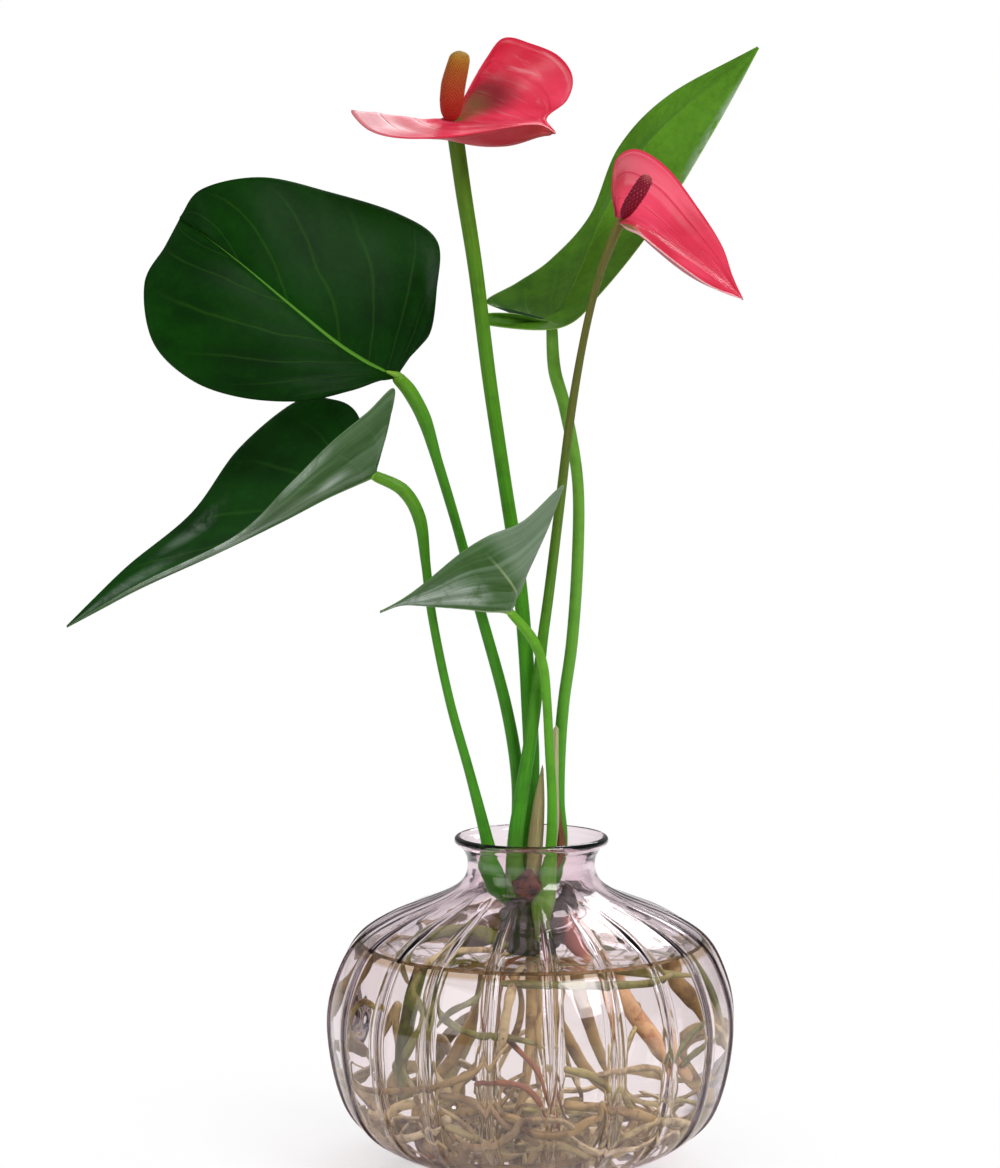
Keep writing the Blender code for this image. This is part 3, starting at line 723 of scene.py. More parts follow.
def spathe_relief(puff, dimple, roll, where, half):
    """Swellings between the arcs, dimples, and the right margin rolled up round along = where."""
    def lift(across, along):
        out = abs(across)
        arcs = puff * abs(math.sin(math.pi * ARCS * out)) * min(1.0, 6 * (1 - out))
        dents = dimple * math.sin(17 * along + 4 * across) * math.sin(9 * across + 5 * along)
        rolled = roll * hump((across - 0.70) / 0.32) * hump((along - where) / half)
        return arcs + dents * (1 - out**4) - rolled - 0.4 * math.exp(-((across / 0.05) ** 2))
    return lift


for which, relief in (
    ("tall", spathe_relief(0.45, 0.35, 7.0, 0.80, 0.24)),
    ("low", spathe_relief(0.45, 0.3, 3.5, 0.62, 0.42)),
):
    two_faced("spathe", which, SPATHES, SPATHE_WALL, relief)

# %% [markdown]
# ## Stalks
#
# The leaf stalks are smooth, round and juicy green; the flower stalks turn olive and reddish
# towards the flower. Each is a tube woven round its own curve, a little thicker where it meets the
# blade, with faint grooves running along it. The colour comes from a ramp along the piece's map.

# %% Stalk finishes
def stalk_face(name, stops):
    material, shader, place = new_material(name, 0.32, IOR=1.45, Specular_IOR_Level=0.16)
    across, _, along = own_map(place)
    lines = noise(stretched(across, along, 9.0, 6.0), 2.2, 4.0, 0.65)
    mottle = noise(place, 130.0, 3.0, 0.6)
    colour = blend(fade(lines, 0.35, 0.75, 0.0, 0.25), ramp(along, stops), (0.26, 0.44, 0.07))
    colour = blend(fade(mottle, 0.45, 0.75, 0.0, 0.3), colour, (0.02, 0.08, 0.006))
    colour.into(shader, "Base Color")
    bumped(shader, mottle * 0.4 + lines, 0.2, 0.0003)
    return material


GREENS = {
    "leaf": [(0.0, (0.05, 0.14, 0.015)), (0.10, (0.035, 0.25, 0.008)), (0.6, (0.045, 0.23, 0.008)),
             (0.9, (0.12, 0.30, 0.015)), (1.0, (0.20, 0.38, 0.03))],
    "upright": [(0.0, (0.05, 0.14, 0.015)), (0.15, (0.045, 0.30, 0.008)), (0.5, (0.12, 0.32, 0.035)),
                (0.9, (0.13, 0.33, 0.03)), (1.0, (0.20, 0.38, 0.03))],
    "small": [(0.0, (0.16, 0.24, 0.04)), (0.2, (0.07, 0.32, 0.012)), (0.8, (0.12, 0.36, 0.02)),
              (1.0, (0.20, 0.42, 0.05))],
    "tall": [(0.0, (0.05, 0.12, 0.015)), (0.1, (0.03, 0.26, 0.006)), (0.5, (0.05, 0.25, 0.006)),
             (0.72, (0.075, 0.18, 0.008)), (1.0, (0.07, 0.10, 0.012))],
    "low": [(0.0, (0.06, 0.16, 0.02)), (0.12, (0.035, 0.25, 0.008)), (0.38, (0.06, 0.22, 0.010)),
            (0.58, (0.09, 0.09, 0.014)), (0.85, (0.17, 0.13, 0.035)), (1.0, (0.34, 0.12, 0.05))],
}
STALK_FACES = {kind: stalk_face("stalk " + kind, stops) for kind, stops in GREENS.items()}

# %% Guide curves of the stalks
STALKS = {
    "petiole_large": (
        [(-5.6, 5, 91), (-5, 11.4, 115), (-5, 10, 140.5), (-9.5, 6, 169), (-19, 0, 205),
         (-27.5, -6, 237), (-34.5, -11, 261), (-39, -15, 276), (-44, -19, 286), (-48, -21.7, 291)],
        [3.0, 2.9, 2.5, 2.2, 2.0, 1.8, 1.9, 2.6, 2.7, 2.4],
    ),
    "petiole_low": (
        [(-7.4, 0, 94), (-11.6, -4, 102), (-14.5, -9, 111), (-16.5, -9.8, 121.5), (-22.5, -12, 145.5),
         (-30, -16, 173.5), (-36, -20, 203.5), (-38.4, -22, 223.5), (-40.6, -24.5, 240.5),
         (-46.4, -28, 251.2), (-55.8, -29.6, 256.3)],
        [3.2, 4.9, 3.6, 2.3, 1.8, 1.65, 1.6, 1.7, 2.4, 2.4, 2.0],
    ),
    "petiole_tall": (
        [(4.8, 3, 92), (10.8, 6, 115), (10, 6, 133.5), (10.5, 5, 152.5), (12, 5, 171), (15, 6, 193),
         (17, 7, 223), (17, 9, 252), (12.5, 11, 278), (8.5, 12, 292.5), (7.5, 12, 307.3)],
        [2.6, 2.5, 2.4, 2.3, 2.2, 2.2, 2.2, 2.1, 2.3, 2.4, 2.1],
    ),
    "petiole_small": (
        [(3.6, -5, 84), (4.2, -7.4, 96), (7, -9, 118), (7.5, -9, 136), (6.5, -9, 154.5), (5.5, -9, 173),
         (4, -10, 186), (0, -12, 196), (-7.2, -15.5, 205)],
        [2.6, 4.7, 2.0, 1.8, 1.7, 1.7, 1.8, 1.9, 1.6],
    ),
    "peduncle_tall": (
        [(0, 5, 99), (-1.5, 3, 117), (0, 2, 145.5), (-1, 4, 171), (-2.5, 5, 193.5), (-5, 4, 219.5),
         (-10, 2, 252.5), (-15.5, 2, 289.5), (-20.5, 0, 329.5), (-25, 0, 358.5), (-28.4, 0, 382.4)],
        [3.0, 3.0, 3.0, 2.9, 2.7, 2.6, 2.5, 2.6, 2.7, 2.9, 3.0],
    ),
    "peduncle_low": (
        [(-5.4, -6.6, 96.5), (-6.2, -9, 118), (-4, -8, 135.5), (-0.5, -6, 157.5), (2, -3, 175.5),
         (4, 1, 193.5), (6.5, 2, 212), (10.5, 0, 245.5), (14, -2, 275), (18.5, -4, 302.5),
         (23.5, -6, 324.5), (29, -8, 340.5), (31.6, -8, 346.2)],
        [4.0, 2.9, 2.6, 2.4, 2.2, 2.0, 1.9, 1.8, 1.6, 1.4, 1.4, 1.7, 1.8],
    ),
    "spadix_tall": (
        [(-29.2, -1.5, 384.6), (-29.3, -2.5, 387), (-29.1, -4, 391), (-28.5, -5, 396.5),
         (-27.3, -6, 401.5), (-26.2, -7, 406), (-25.9, -7.4, 408.8)],
        [2.6, 3.9, 4.5, 4.6, 4.3, 3.9, 2.6],
    ),
    "spadix_low": (
        [(32.8, -9.6, 348.8), (33.8, -10.8, 350.6), (35.6, -12.4, 353.6), (38.6, -14.8, 358.4),
         (41, -16.6, 362.4), (42, -17.4, 364)],
        [1.0, 2.2, 2.8, 3.0, 2.6, 1.0],
    ),
}
print(len(STALKS), "stalks")

# %% Stalks
CARRIED = {"petiole": "leaf", "peduncle": "spathe"}
RUNS_ON = (0.05, 0.30)  # the places along the midrib that a stalk goes on to under its blade
STALK_GRID = (60 * FINE, 14 * FINE)  # rows along it and sides round it


def grooved(turn, along):
    return 1.0 + 0.025 * math.sin(5 * turn) * (0.4 + 0.6 * along)


def stalk(name, finish):
    """A stalk that runs on a little way under the midrib of the blade it carries."""
    points, radii = STALKS[name]
    kind, which = name.split("_")
    midrib = BLADES[CARRIED[kind] + "_" + which]["mid"]
    points = points + [tuple(on_curve(midrib, place)) for place in RUNS_ON]
    radii = radii + [radii[-1] * 0.7, 0.4]
    work, _ = new_work()
    tube(work, points, radii, *STALK_GRID, grooved, round_end=0.012)
    finish_piece(name + "_piece", work, [finish], [name], turn_out=True)


for name, kind, slot in (
    ("petiole_large", "leaf", "stalk_green"), ("petiole_low", "leaf", "stalk_green"),
    ("petiole_tall", "upright", "stalk_green"), ("petiole_small", "small", "fresh_green"),
    ("peduncle_tall", "tall", "stalk_olive"), ("peduncle_low", "low", "stalk_olive"),
):
    stalk(name, STALK_FACES[kind])

# %% [markdown]
# ## Spadices
#
# The spike in the middle of each flower carries hundreds of tiny flowers, set in crossing
# spirals. Two waves that wind round the spike in opposite directions, multiplied together, raise
# exactly such a diamond pattern of small knobs. Each knob's tip is lighter than the gaps.

# %% Spadices
def knob(turn, along, around, rows):
    """0 in the gaps and 1 on the knobs of a diamond pattern."""
    one = math.cos(0.5 * (around * turn + rows * 2 * math.pi * along))
    other = math.cos(0.5 * (around * turn - rows * 2 * math.pi * along))
    return (one * other) ** 2


def spadix_face(name, stops, gap, tip, around, rows, contrast):
    material, shader, place = new_material(name, 0.5, IOR=1.45, Specular_IOR_Level=0.22)
    across, _, along = own_map(place)
    spun = across * math.pi * around
    rise = along * (2 * math.pi * rows)
    one = ((spun + rise) * 0.5).math("COSINE")
    other = ((spun - rise) * 0.5).math("COSINE")
    peak = (one * other) ** 2.0
    colour = blend(fade(peak, 0.0, 0.35, contrast, 0.0), ramp(along, stops), gap)
    dotted = fade(peak, 0.84, 1.0) * fade(noise(place, 300.0), 0.42, 0.6)
    upwards = fade(along, 0.3, 0.95, contrast - 0.3, contrast + 0.3)
    colour = blend(dotted * upwards, colour, tip)
    colour.into(shader, "Base Color")
    bumped(shader, noise(place, 900.0, 2.0, 0.5), 0.3, 0.0002)
    return material


TALL_KNOBS, LOW_KNOBS = (22, 26), (12, 10)  # round the spike and along it
ORANGE = spadix_face(
    "spadix orange",
    [(0.0, (0.52, 0.022, 0.03)), (0.35, (0.44, 0.04, 0.018)), (0.7, (0.40, 0.11, 0.012)),
     (0.88, (0.42, 0.22, 0.02)), (1.0, (0.34, 0.25, 0.06))],
    (0.26, 0.03, 0.01), (0.60, 0.30, 0.07), *TALL_KNOBS, 0.35,
)
CRIMSON = spadix_face(
    "spadix crimson",
    [(0.0, (0.26, 0.006, 0.03)), (0.75, (0.30, 0.010, 0.035)), (1.0, (0.50, 0.09, 0.10))],
    (0.10, 0.002, 0.010), (0.80, 0.36, 0.38), *LOW_KNOBS, 0.7,
)


SPADIX_GRID = (110 * FINE, 88 * FINE)


def spadix(name, finish, knobs, height):
    def knobbly(turn, along):
        return 1.0 - height + height * knob(turn, along, *knobs)

    work, _ = new_work()
    tube(work, *STALKS[name], *SPADIX_GRID, knobbly, round_end=0.10)
    finish_piece(name + "_piece", work, [finish], [name], turn_out=True)


spadix("spadix_tall", ORANGE, TALL_KNOBS, 0.09)
spadix("spadix_low", CRIMSON, LOW_KNOBS, 0.12)

# %% [markdown]
# ## Dry sheaths
#
# Every new leaf of an anthurium leaves a papery sheath at the foot of its stalk. They dry to
# straw yellow and brown, with fibres running up them.

# %% Sheaths
def sheath_face(name, light, dark, green):
    material, shader, place = new_material(name, 0.65, IOR=1.4)
    across, _, along = own_map(place)
    fibre = noise(stretched(across, along, 14.0, 2.5), 2.0, 5.0, 0.7)
    colour = blend(fade(fibre, 0.3, 0.7), dark, light)
    colour = blend(fade(along, 0.0, 0.45, 0.7, 0.0), colour, green)
    colour.into(shader, "Base Color")
    bumped(shader, fibre, 0.6, 0.0004)
    return material


STRAW = sheath_face("sheath straw", (0.62, 0.55, 0.28), (0.36, 0.26, 0.09), (0.32, 0.42, 0.12))
PALE = sheath_face("sheath pale", (0.60, 0.58, 0.34), (0.36, 0.34, 0.14), (0.28, 0.40, 0.10))
BROWN = sheath_face("sheath brown", (0.30, 0.12, 0.04), (0.07, 0.025, 0.012), (0.20, 0.10, 0.03))
SHEATH_GRID, SHEATH_WALL = (24 * FINE, 6 * FINE), 0.3


def paper_relief(across, along):
    return 0.18 * math.sin(11 * across + 2 * along) * (1 - along * 0.5)


for name, finish, slot in (
    ("sheath_cream", STRAW, "sheath_straw"), ("sheath_pale", PALE, "sheath_straw"),
    ("sheath_brown", BROWN, "sheath_brown"),
):
    blade(name, [finish, finish], SHEATH_GRID, SHEATH_WALL, paper_relief, 1.0)

# %% [markdown]
# ## The crown
#
# Leaves, flowers and roots all grow from one short, woody stem, the crown, which sits in the
# vase's neck. Old leaf scars ring it, dry scales cling to it and a fat brown bud sits at its top.
# A lumpy tube with stepped rings makes the stem; a few short stubs and the bud are added to the
# same mesh.

# %% Crown
CROWN_PATH = [(1, 1, 69), (0, 1, 75), (-1, 0, 82), (-2, 0, 89), (-1, -1, 96), (0, -2, 102),
              (0.5, -3, 106)]
CROWN_RADII = [3.4, 6.2, 7.8, 8.4, 7.6, 5.0, 1.6]


def bark(name, deep, light, moss):
    material, shader, place = new_material(name, 0.55, IOR=1.4)
    coarse = noise(place, 260.0, 4.0, 0.7)
    patches = noise(place, 90.0, 3.0, 0.6, 0.6)
    colour = blend(fade(coarse, 0.35, 0.65), deep, light)
    colour = blend(fade(patches, 0.5, 0.68, 0.0, 0.8), colour, moss)
    colour.into(shader, "Base Color")
    bumped(shader, coarse, 0.8, 0.0006)
    return material


CROWN_BARK = bark("crown bark", (0.003, 0.002, 0.002), (0.030, 0.014, 0.008), (0.02, 0.022, 0.005))
BUD_SCALE = bark("bud scale", (0.022, 0.008, 0.005), (0.15, 0.040, 0.015), (0.02, 0.007, 0.005))


def ringed(turn, along):
    lumps = 0.07 * math.sin(3 * turn + 11 * along) + 0.05 * math.sin(7 * turn - 23 * along)
    scars = 0.07 * abs(math.sin(8 * math.pi * along + 0.6 * math.sin(turn)))
    return 0.92 + lumps + scars


CROWN_GRID = (46 * FINE, 24 * FINE)
STUB_GRID, BUD_GRID = (14 * FINE, 10 * FINE), (20 * FINE, 14 * FINE)
work, _ = new_work()
tube(work, CROWN_PATH, CROWN_RADII, *CROWN_GRID, ringed, round_end=0.05, round_start=0.06)
STUBS = [
    ([(-3, -2, 88), (-6.5, -4.5, 91), (-8.5, -5.5, 95)], [1.9, 1.7, 1.2]),
    ([(2, -3, 84), (6, -5.5, 86), (8.5, -6, 89.5)], [1.8, 1.6, 1.1]),
    ([(-3, 1, 79), (-7, 1.5, 80), (-9, 2.5, 83)], [1.6, 1.4, 1.0]),
    ([(-6, 4, 90), (-3, 6, 94), (0, 6.5, 99)], [3.0, 2.6, 1.4]),
    ([(2, 0, 82), (9, -2, 88), (13, -3.5, 95), (12.5, -3, 103)], [4.0, 4.6, 4.0, 1.8]),
    ([(-2, -1, 84), (-8, -4, 88), (-11, -6, 92)], [3.4, 3.4, 2.2]),
]
for points, radii in STUBS:
    tube(work, points, radii, *STUB_GRID, ringed, round_end=0.3)
BUD = ([(-1, -4, 96), (-1.6, -8, 100.5), (-1.4, -10.6, 105.5),
        (-0.8, -10.8, 111)], [2.6, 4.8, 5.4, 1.8])
bud = tube(work, *BUD, *BUD_GRID, ringed, round_end=0.25)
for face in faces_of(bud):
    face.material_index = 1
finish_piece("crown_piece", work, [CROWN_BARK, BUD_SCALE], ["crown"], turn_out=True)

# %% [markdown]
# ## Roots
#
# Water roots are pale and fleshy. The thickest ones leave the crown one by one; below them, a
# mat of thinner roots winds round the bottom of the vase. The thick ones follow their own
# curves. For the mat, a seeded random walk is easiest: each root heads down and outwards, turns a
# little at every step, and is turned back where it would touch the glass. Every root gets its
# own number in the map, from which the material draws its own shade.

# %% Root finish
def root_face(name, shades, stain, collars=()):
    """collars are (start, end, colour): it runs from the crown to start and is gone by end."""
    material, shader, place = new_material(name, 0.42, IOR=1.36)
    u, along, _ = parts(output_of(place.tree, "UVMap", uv_map="UVMap"))
    number = u.math("FLOOR")
    pick = output_of(place.tree, "TexWhiteNoise", {"W": number}, "Value", noise_dimensions="1D")
    shade = ramp(pick, [(index / (len(shades) - 1), colour) for index, colour in enumerate(shades)])
    mottle = noise(place, 120.0, 4.0, 0.65, 0.3)
    specks = noise(place, 330.0, 3.0, 0.6)
    colour = blend(fade(mottle, 0.42, 0.68, 0.0, 0.9), shade, stain)
    colour = blend(fade(specks, 0.60, 0.72, 0.0, 0.8), colour, stain)
    for start, end, tone in collars:
        colour = blend(fade(along, start, end, 0.95, 0.0), colour, tone)
    colour = blend(fade(along, 0.86, 1.0, 0.0, 0.5), colour, (0.62, 0.52, 0.30))
    colour.into(shader, "Base Color")
    bumped(shader, noise(place, 700.0, 3.0, 0.6), 0.4, 0.0003)
    return material


TAN = [(0.46, 0.34, 0.13), (0.72, 0.60, 0.31), (0.28, 0.20, 0.06), (0.82, 0.72, 0.43),
       (0.42, 0.29, 0.10), (0.32, 0.30, 0.07), (0.68, 0.58, 0.30), (0.22, 0.12, 0.04)]
DARK_BARK = (0.022, 0.010, 0.007)
ROOT_SKIN = root_face("root tan", TAN, (0.13, 0.065, 0.02))
ROOT_OLIVE = root_face("root olive", [(0.17, 0.18, 0.04), (0.32, 0.32, 0.09)], (0.09, 0.07, 0.02))
ROOT_RED = root_face("root red brown", [(0.36, 0.12, 0.03), (0.26, 0.09, 0.03)], (0.14, 0.05, 0.02))
ROOT_LEFT = root_face("root brown to olive", [(0.11, 0.14, 0.02), (0.11, 0.14, 0.02)],
                      (0.05, 0.035, 0.012), [(0.26, 0.42, (0.09, 0.032, 0.016))])
ROOT_RIGHT = root_face("root dark to orange", [(0.66, 0.40, 0.18), (0.72, 0.47, 0.24)],
                       (0.38, 0.14, 0.05), [(0.38, 0.46, (0.28, 0.065, 0.045)), (0.18, 0.27, DARK_BARK)])

# %% Guide curves of the main roots
ROOTS = [
    ([(-1, 0, 85), (-12, -4, 86.5), (-22, -10, 84.5), (-32, -20, 78), (-38, -31, 69), (-41, -36, 57),
      (-43, -37, 44), (-43, -36, 33)], 3.1, 2.7),
    ([(1.5, -1.2, 85.2), (8, -4.8, 86.6), (14, -6.4, 86.5), (19, -10, 80), (23, -17, 71), (30, -28, 62),
      (39, -35, 53), (48, -37, 45), (54, -34, 38)], 3.3, 2.9),
    ([(0, 0, 74), (0, -8, 68), (0, -24, 62), (-1, -38, 50), (-3, -42, 36), (-8, -40, 22)], 2.2, 1.5),
    ([(1, -1, 79), (4, -10, 76), (2, -20, 71.5), (20, -27, 71), (40, -27, 71),
      (54, -20, 70)], 1.8, 1.3),
    ([(-2, 0, 81), (-16, -8, 74), (-32, -28, 66), (-30, -46, 62), (-20, -54, 58), (-6, -57, 57),
      (6, -57, 54)], 1.6, 1.2),
    ([(-1, 0, 77), (-8, -12, 66), (-12, -32, 60), (-8, -52, 56), (1, -61, 48), (7, -60, 37),
      (14, -53, 25)],
     1.3, 1.0),
    ([(0, 2, 84), (16, 6, 84), (34, 8, 75), (50, 4, 62), (60, -4, 50)], 2.3, 2.0),
    ([(-2, 2, 82), (-18, 16, 76), (-36, 30, 60), (-48, 34, 40), (-42, 36, 22),
      (-22, 44, 14)], 2.2, 1.6),
    ([(0, 2, 79), (14, 18, 72), (30, 32, 56), (44, 36, 38), (40, 38, 22), (18, 48, 14)], 2.2, 1.6),
    ([(0, 0, 78), (10, 0, 68), (18, -4, 46), (31, -24, 24), (12, -50, 14), (-18, -48, 12),
      (-40, -26, 12), (-46, 2, 12)], 1.8, 1.3),
    ([(0, 0, 77), (-10, 4, 67), (-17, 5, 47), (-32, -2, 25), (-22, -28, 10), (8, -32, 8.1),
      (36, -16, 8.1), (38, 14, 8.1), (12, 30, 8.1)], 1.8, 1.3),
    ([(0, 1, 75), (4, 9, 65), (8, 13, 46), (24, 14, 27), (46, 2, 20), (52, -24, 20)], 1.6, 1.2),
]
print(len(ROOTS), "main roots")

# %% Main roots
FINISHES = {1: ROOT_LEFT, 2: ROOT_RIGHT, 4: ROOT_OLIVE, 5: ROOT_OLIVE, 6: ROOT_RED, 7: ROOT_LEFT}
ROOT_GRID, MAT_GRID, FRONT_GRID = (60 * FINE, 10 * FINE), (28 * FINE, 6), (30 * FINE, 9 * FINE)


def lumpy(number):
    def shape(turn, along):
        slow = 0.07 * math.sin(19 * along + number) + 0.05 * math.sin(31 * along + 2 * number)
        return 1.0 + slow + 0.03 * math.sin(3 * turn + 12 * along)
    return shape


for number, (points, thick, thin) in enumerate(ROOTS, start=1):
    work, _ = new_work()
    radii = [thick, thick, (thick + thin) / 2, thin, thin, thin * 0.45]
    tube(work, points, radii, *ROOT_GRID, lumpy(number), round_end=0.02)
    name = f"root_{number:02d}"
    finish = FINISHES.get(number, ROOT_SKIN)
    finish_piece(name + "_piece", work, [finish], [name], turn_out=True)

# %% [markdown]
# ## The glass
#
# The vase is a blown and moulded bowl: a thin wall with twenty raised ribs that fade out towards
# its neck and its foot, and a rounded lip. One profile, spun about the upright axis, makes the
# whole skin, inner side and outer side together. The steps of the spin are then crowded round
# each rib, and the outer points there are drawn out over a smooth bump.

# %% Profile of the vase
FLOOR_Z = 6.0
INNER_WALL = [
    (38.0, 6.0), (50.0, 8.0), (58.5, 13.0), (65.0, 20.5), (69.2, 30.0), (71.4, 41.0), (72.2, 52.0),
    (71.2, 61.5), (68.0, 70.5), (63.7, 78.5), (57.3, 84.5), (47.5, 89.6), (36.5, 94.2), (27.8, 98.8),
    (22.5, 103.6), (20.7, 108.4), (20.5, 112.5), (22.3, 116.8), (24.9, 119.2),
]
LIP = [(25.9, 120.7), (27.2, 121.3), (28.4, 120.4), (28.2, 118.8)]
OUTER_WALL = [
    (26.2, 117.2), (24.9, 115.6), (23.8, 113.0), (23.7, 109.4), (24.7, 106.0), (27.4, 102.8),
    (32.8, 99.5), (41.0, 96.0), (50.5, 92.0), (60.5, 86.0), (66.6, 80.0), (70.8, 72.0), (74.0, 62.0),
    (75.0, 52.0), (73.9, 40.0), (71.2, 28.0), (67.0, 18.0), (60.0, 10.0), (50.0, 4.0), (39.0, 0.0),
]
RIB_COUNT = 20
RIB_HEIGHT = 1.0
RIB_HALF_WIDTH = math.radians(1.15)
RIB_PHASE = math.radians(-84.5)
RIB_LOW, RIB_LOW_FULL = 4.0, 16.0
RIB_HIGH_FULL, RIB_HIGH = 84.0, 104.0
# the points across a rib, in half widths
RIB_TURNS = [-1.0, -0.84, -0.66, -0.48, -0.3, -0.12, 0.0, 0.12, 0.3, 0.48, 0.66, 0.84]
BETWEEN = 7  # steps from one rib to the next


def sampled(points, count):
    """count points on the smooth curve through flat (radius, height) points."""
    solid = [(radius, 0.0, height) for radius, height in points]
    found = [on_curve(solid, index / (count - 1)) for index in range(count)]
    return [(point.x, point.z) for point in found]


def rib_share(height):
    rise = (height - RIB_LOW) / (RIB_LOW_FULL - RIB_LOW)
    fall = (RIB_HIGH - height) / (RIB_HIGH - RIB_HIGH_FULL)
    share = min(max(min(rise, fall), 0.0), 1.0)
    return share * share * (3 - 2 * share)


def rib_bump(turn):
    """How far a rib stands out at this turn from its middle, in half widths."""
    return max(0.0, 1 - turn * turn) ** 0.8 if abs(turn) < 1 else 0.0


def turned(work, profile, ribbed_from):
    """Spins the profile about the axis. Points from number ribbed_from on are drawn out over ribs."""
    pitch = 2 * math.pi / RIB_COUNT
    turns = [RIB_HALF_WIDTH * turn for turn in RIB_TURNS]
    rest = pitch - 2 * RIB_HALF_WIDTH
    turns += [RIB_HALF_WIDTH + rest * step / BETWEEN for step in range(BETWEEN)]
    steps = len(turns)
    mark = work.verts.layers.int.new("profile point")
    verts = [work.verts.new((radius * MM, 0.0, height * MM)) for radius, height in profile]
    for number, vertex in enumerate(verts):
        vertex[mark] = number
    edges = [work.edges.new(pair) for pair in zip(verts, verts[1:])]
    bmesh.ops.spin(
        work, geom=verts + edges, cent=(0, 0, 0), axis=(0, 0, 1), angle=2 * math.pi,
        steps=RIB_COUNT * steps, use_merge=True,
    )
    for vertex in work.verts:
        radius, height = profile[vertex[mark]]
        if radius == 0.0:
            continue
        step = round(math.atan2(vertex.co.y, vertex.co.x) * steps / pitch) % (RIB_COUNT * steps)
        local = turns[step % steps]
        turn = RIB_PHASE + (step // steps) * pitch + local
        if vertex[mark] >= ribbed_from:
            radius += RIB_HEIGHT * rib_share(height) * rib_bump(local / RIB_HALF_WIDTH)
        vertex.co = Vector((radius * math.cos(turn), radius * math.sin(turn), height)) * MM


# %% Glass finish
def clear_face(name, tint, ior, absorbed, density):
    """Clear glass or water: it bends light, darkens with depth and lets lamplight through."""
    material, shader, place = new_material(
        name, 0.0, IOR=ior, Transmission_Weight=1.0, Base_Color=(*tint, 1.0),
    )
    tree = material.node_tree
    through = output_of(tree, "BsdfTransparent", {"Color": tint})
    lamps = output_of(tree, "LightPath", output="Is Shadow Ray")
    end = tree.nodes["Material Output"]
    output_of(tree, "MixShader", {0: lamps, 1: shader.outputs[0], 2: through}).into(end, "Surface")
    output_of(tree, "VolumeAbsorption", {"Color": absorbed, "Density": density}).into(end, "Volume")
    return material, shader, place


GLASS_BENDS, WATER_BENDS = 1.48, 1.333
BELLY_TINT, NECK_TINT = (0.995, 0.98, 0.985), (0.975, 0.90, 0.93)
GLASS, shader, place = clear_face("vase glass", BELLY_TINT, GLASS_BENDS, (0.62, 0.34, 0.46), 52.0)
bumped(shader, noise(place, 38.0, 2.0, 0.5), 0.10, 0.002)
NECK_FROM, NECK_FULL = 0.088, 0.106  # metres up the vase
_, _, height = parts(place)
blend(fade(height, NECK_FROM, NECK_FULL), BELLY_TINT, NECK_TINT).into(shader, "Base Color")

# dust gathers where the water's edge climbs the wall
CLEAR, DUSTY = (1.0, 1.0, 1.0), (0.50, 0.36, 0.20)
DUST_OUT, DUST_UP = (0.0575, 0.0605), (0.0775, 0.0790)  # metres from the axis, and up
WATER, shader, place = clear_face("vase water", CLEAR, WATER_BENDS, (0.97, 0.93, 0.82), 2.5)
x, y, height = parts(place)
from_axis = (x * x + y * y).math("SQRT")
edge = fade(from_axis, *DUST_OUT) * fade(height, *DUST_UP)
blend(edge, CLEAR, DUSTY).into(shader, "Base Color")

# %% Vase
work, _ = new_work()
inner = sampled(INNER_WALL, 64)
rim = sampled([INNER_WALL[-1]] + LIP + [OUTER_WALL[0]], 20)[1:-1]
outer = sampled(OUTER_WALL, 90)
FOOT_RINGS = [0.0, 12.0, 26.0]
profile = [(radius, FLOOR_Z) for radius in FOOT_RINGS] + inner + rim + outer
profile += [(radius, 0.0) for radius in reversed(FOOT_RINGS)]
turned(work, profile, len(FOOT_RINGS) + len(inner) + len(rim))
finish_piece("vase_glass", work, [GLASS], ["vase"], smooth=75.0, turn_out=True)

# %% [markdown]
# ## The water
#
# The water fills the bowl up to a level line. Its skin lies a hair inside the glass, so that
# light passes straight from one to the other, as it does where water wets a wall, and its edge
# climbs the wall a little.

# %% Water
WATER_TOP = 79.0
WATER_RADIUS = 63.2
WETTED = 0.15  # how far the water's skin reaches into the wall


def wall_radius(height):
    """Radius of the inner wall at this height, below the shoulder."""
    for (r1, z1), (r2, z2) in zip(inner, inner[1:]):
        if z1 <= height <= z2:
            return r1 + (r2 - r1) * (height - z1) / (z2 - z1)
    return inner[-1][0]


work, _ = new_work()
side = [(r + WETTED, z - WETTED * (z < 50)) for r, z in inner if z < WATER_TOP - 1]
climb = [(wall_radius(WATER_TOP + rise) + WETTED, WATER_TOP + rise) for rise in (0.5, 1.3, 2.2)]
level = [(WATER_RADIUS - back, WATER_TOP + 2.4 * math.exp(-back / 1.5))
         for back in (1.0, 1.4, 1.9, 2.6, 3.6, 5.0, 7.0)]
profile = [(0.0, FLOOR_Z - WETTED), (20.0, FLOOR_Z - WETTED)] + side + climb + level
profile += [(40.0, WATER_TOP), (20.0, WATER_TOP), (0.0, WATER_TOP)]
turned(work, profile, len(profile))
finish_piece("water_body", work, [WATER], ["water"], turn_out=True)

# %% [markdown]
# The root mat can be grown now that the shape of the bowl is known.

# %% Root mat
MAT_ROOTS = 66
MAT_START = (14, 36.0)  # heights between which its roots begin
MAT_REACH = (4, 58)  # distances from the axis at which they begin
THINNEST, THICKER = 0.65, 1.35
STEPS, STEP_LENGTH, SWAY = (8, 15), (6.0, 9.5), 0.55
HOME, HOMING = 20.0, 60.0  # the height that roots drift to, and how slowly
UNDER = 6.0  # they stay this far below the water's top
GAP = 1.0  # and this far off the wall
grow = random.Random(20)


def kept_inside(point, margin):
    """The point, pulled back where it would come nearer to the wall or the floor than margin."""
    height = min(max(point.z, FLOOR_Z + margin), WATER_TOP - UNDER)
    limit = wall_radius(height) - margin
    reach = math.hypot(point.x, point.y)
    pull = min(1.0, limit / reach) if reach else 1.0
    return Vector((point.x * pull, point.y * pull, height))


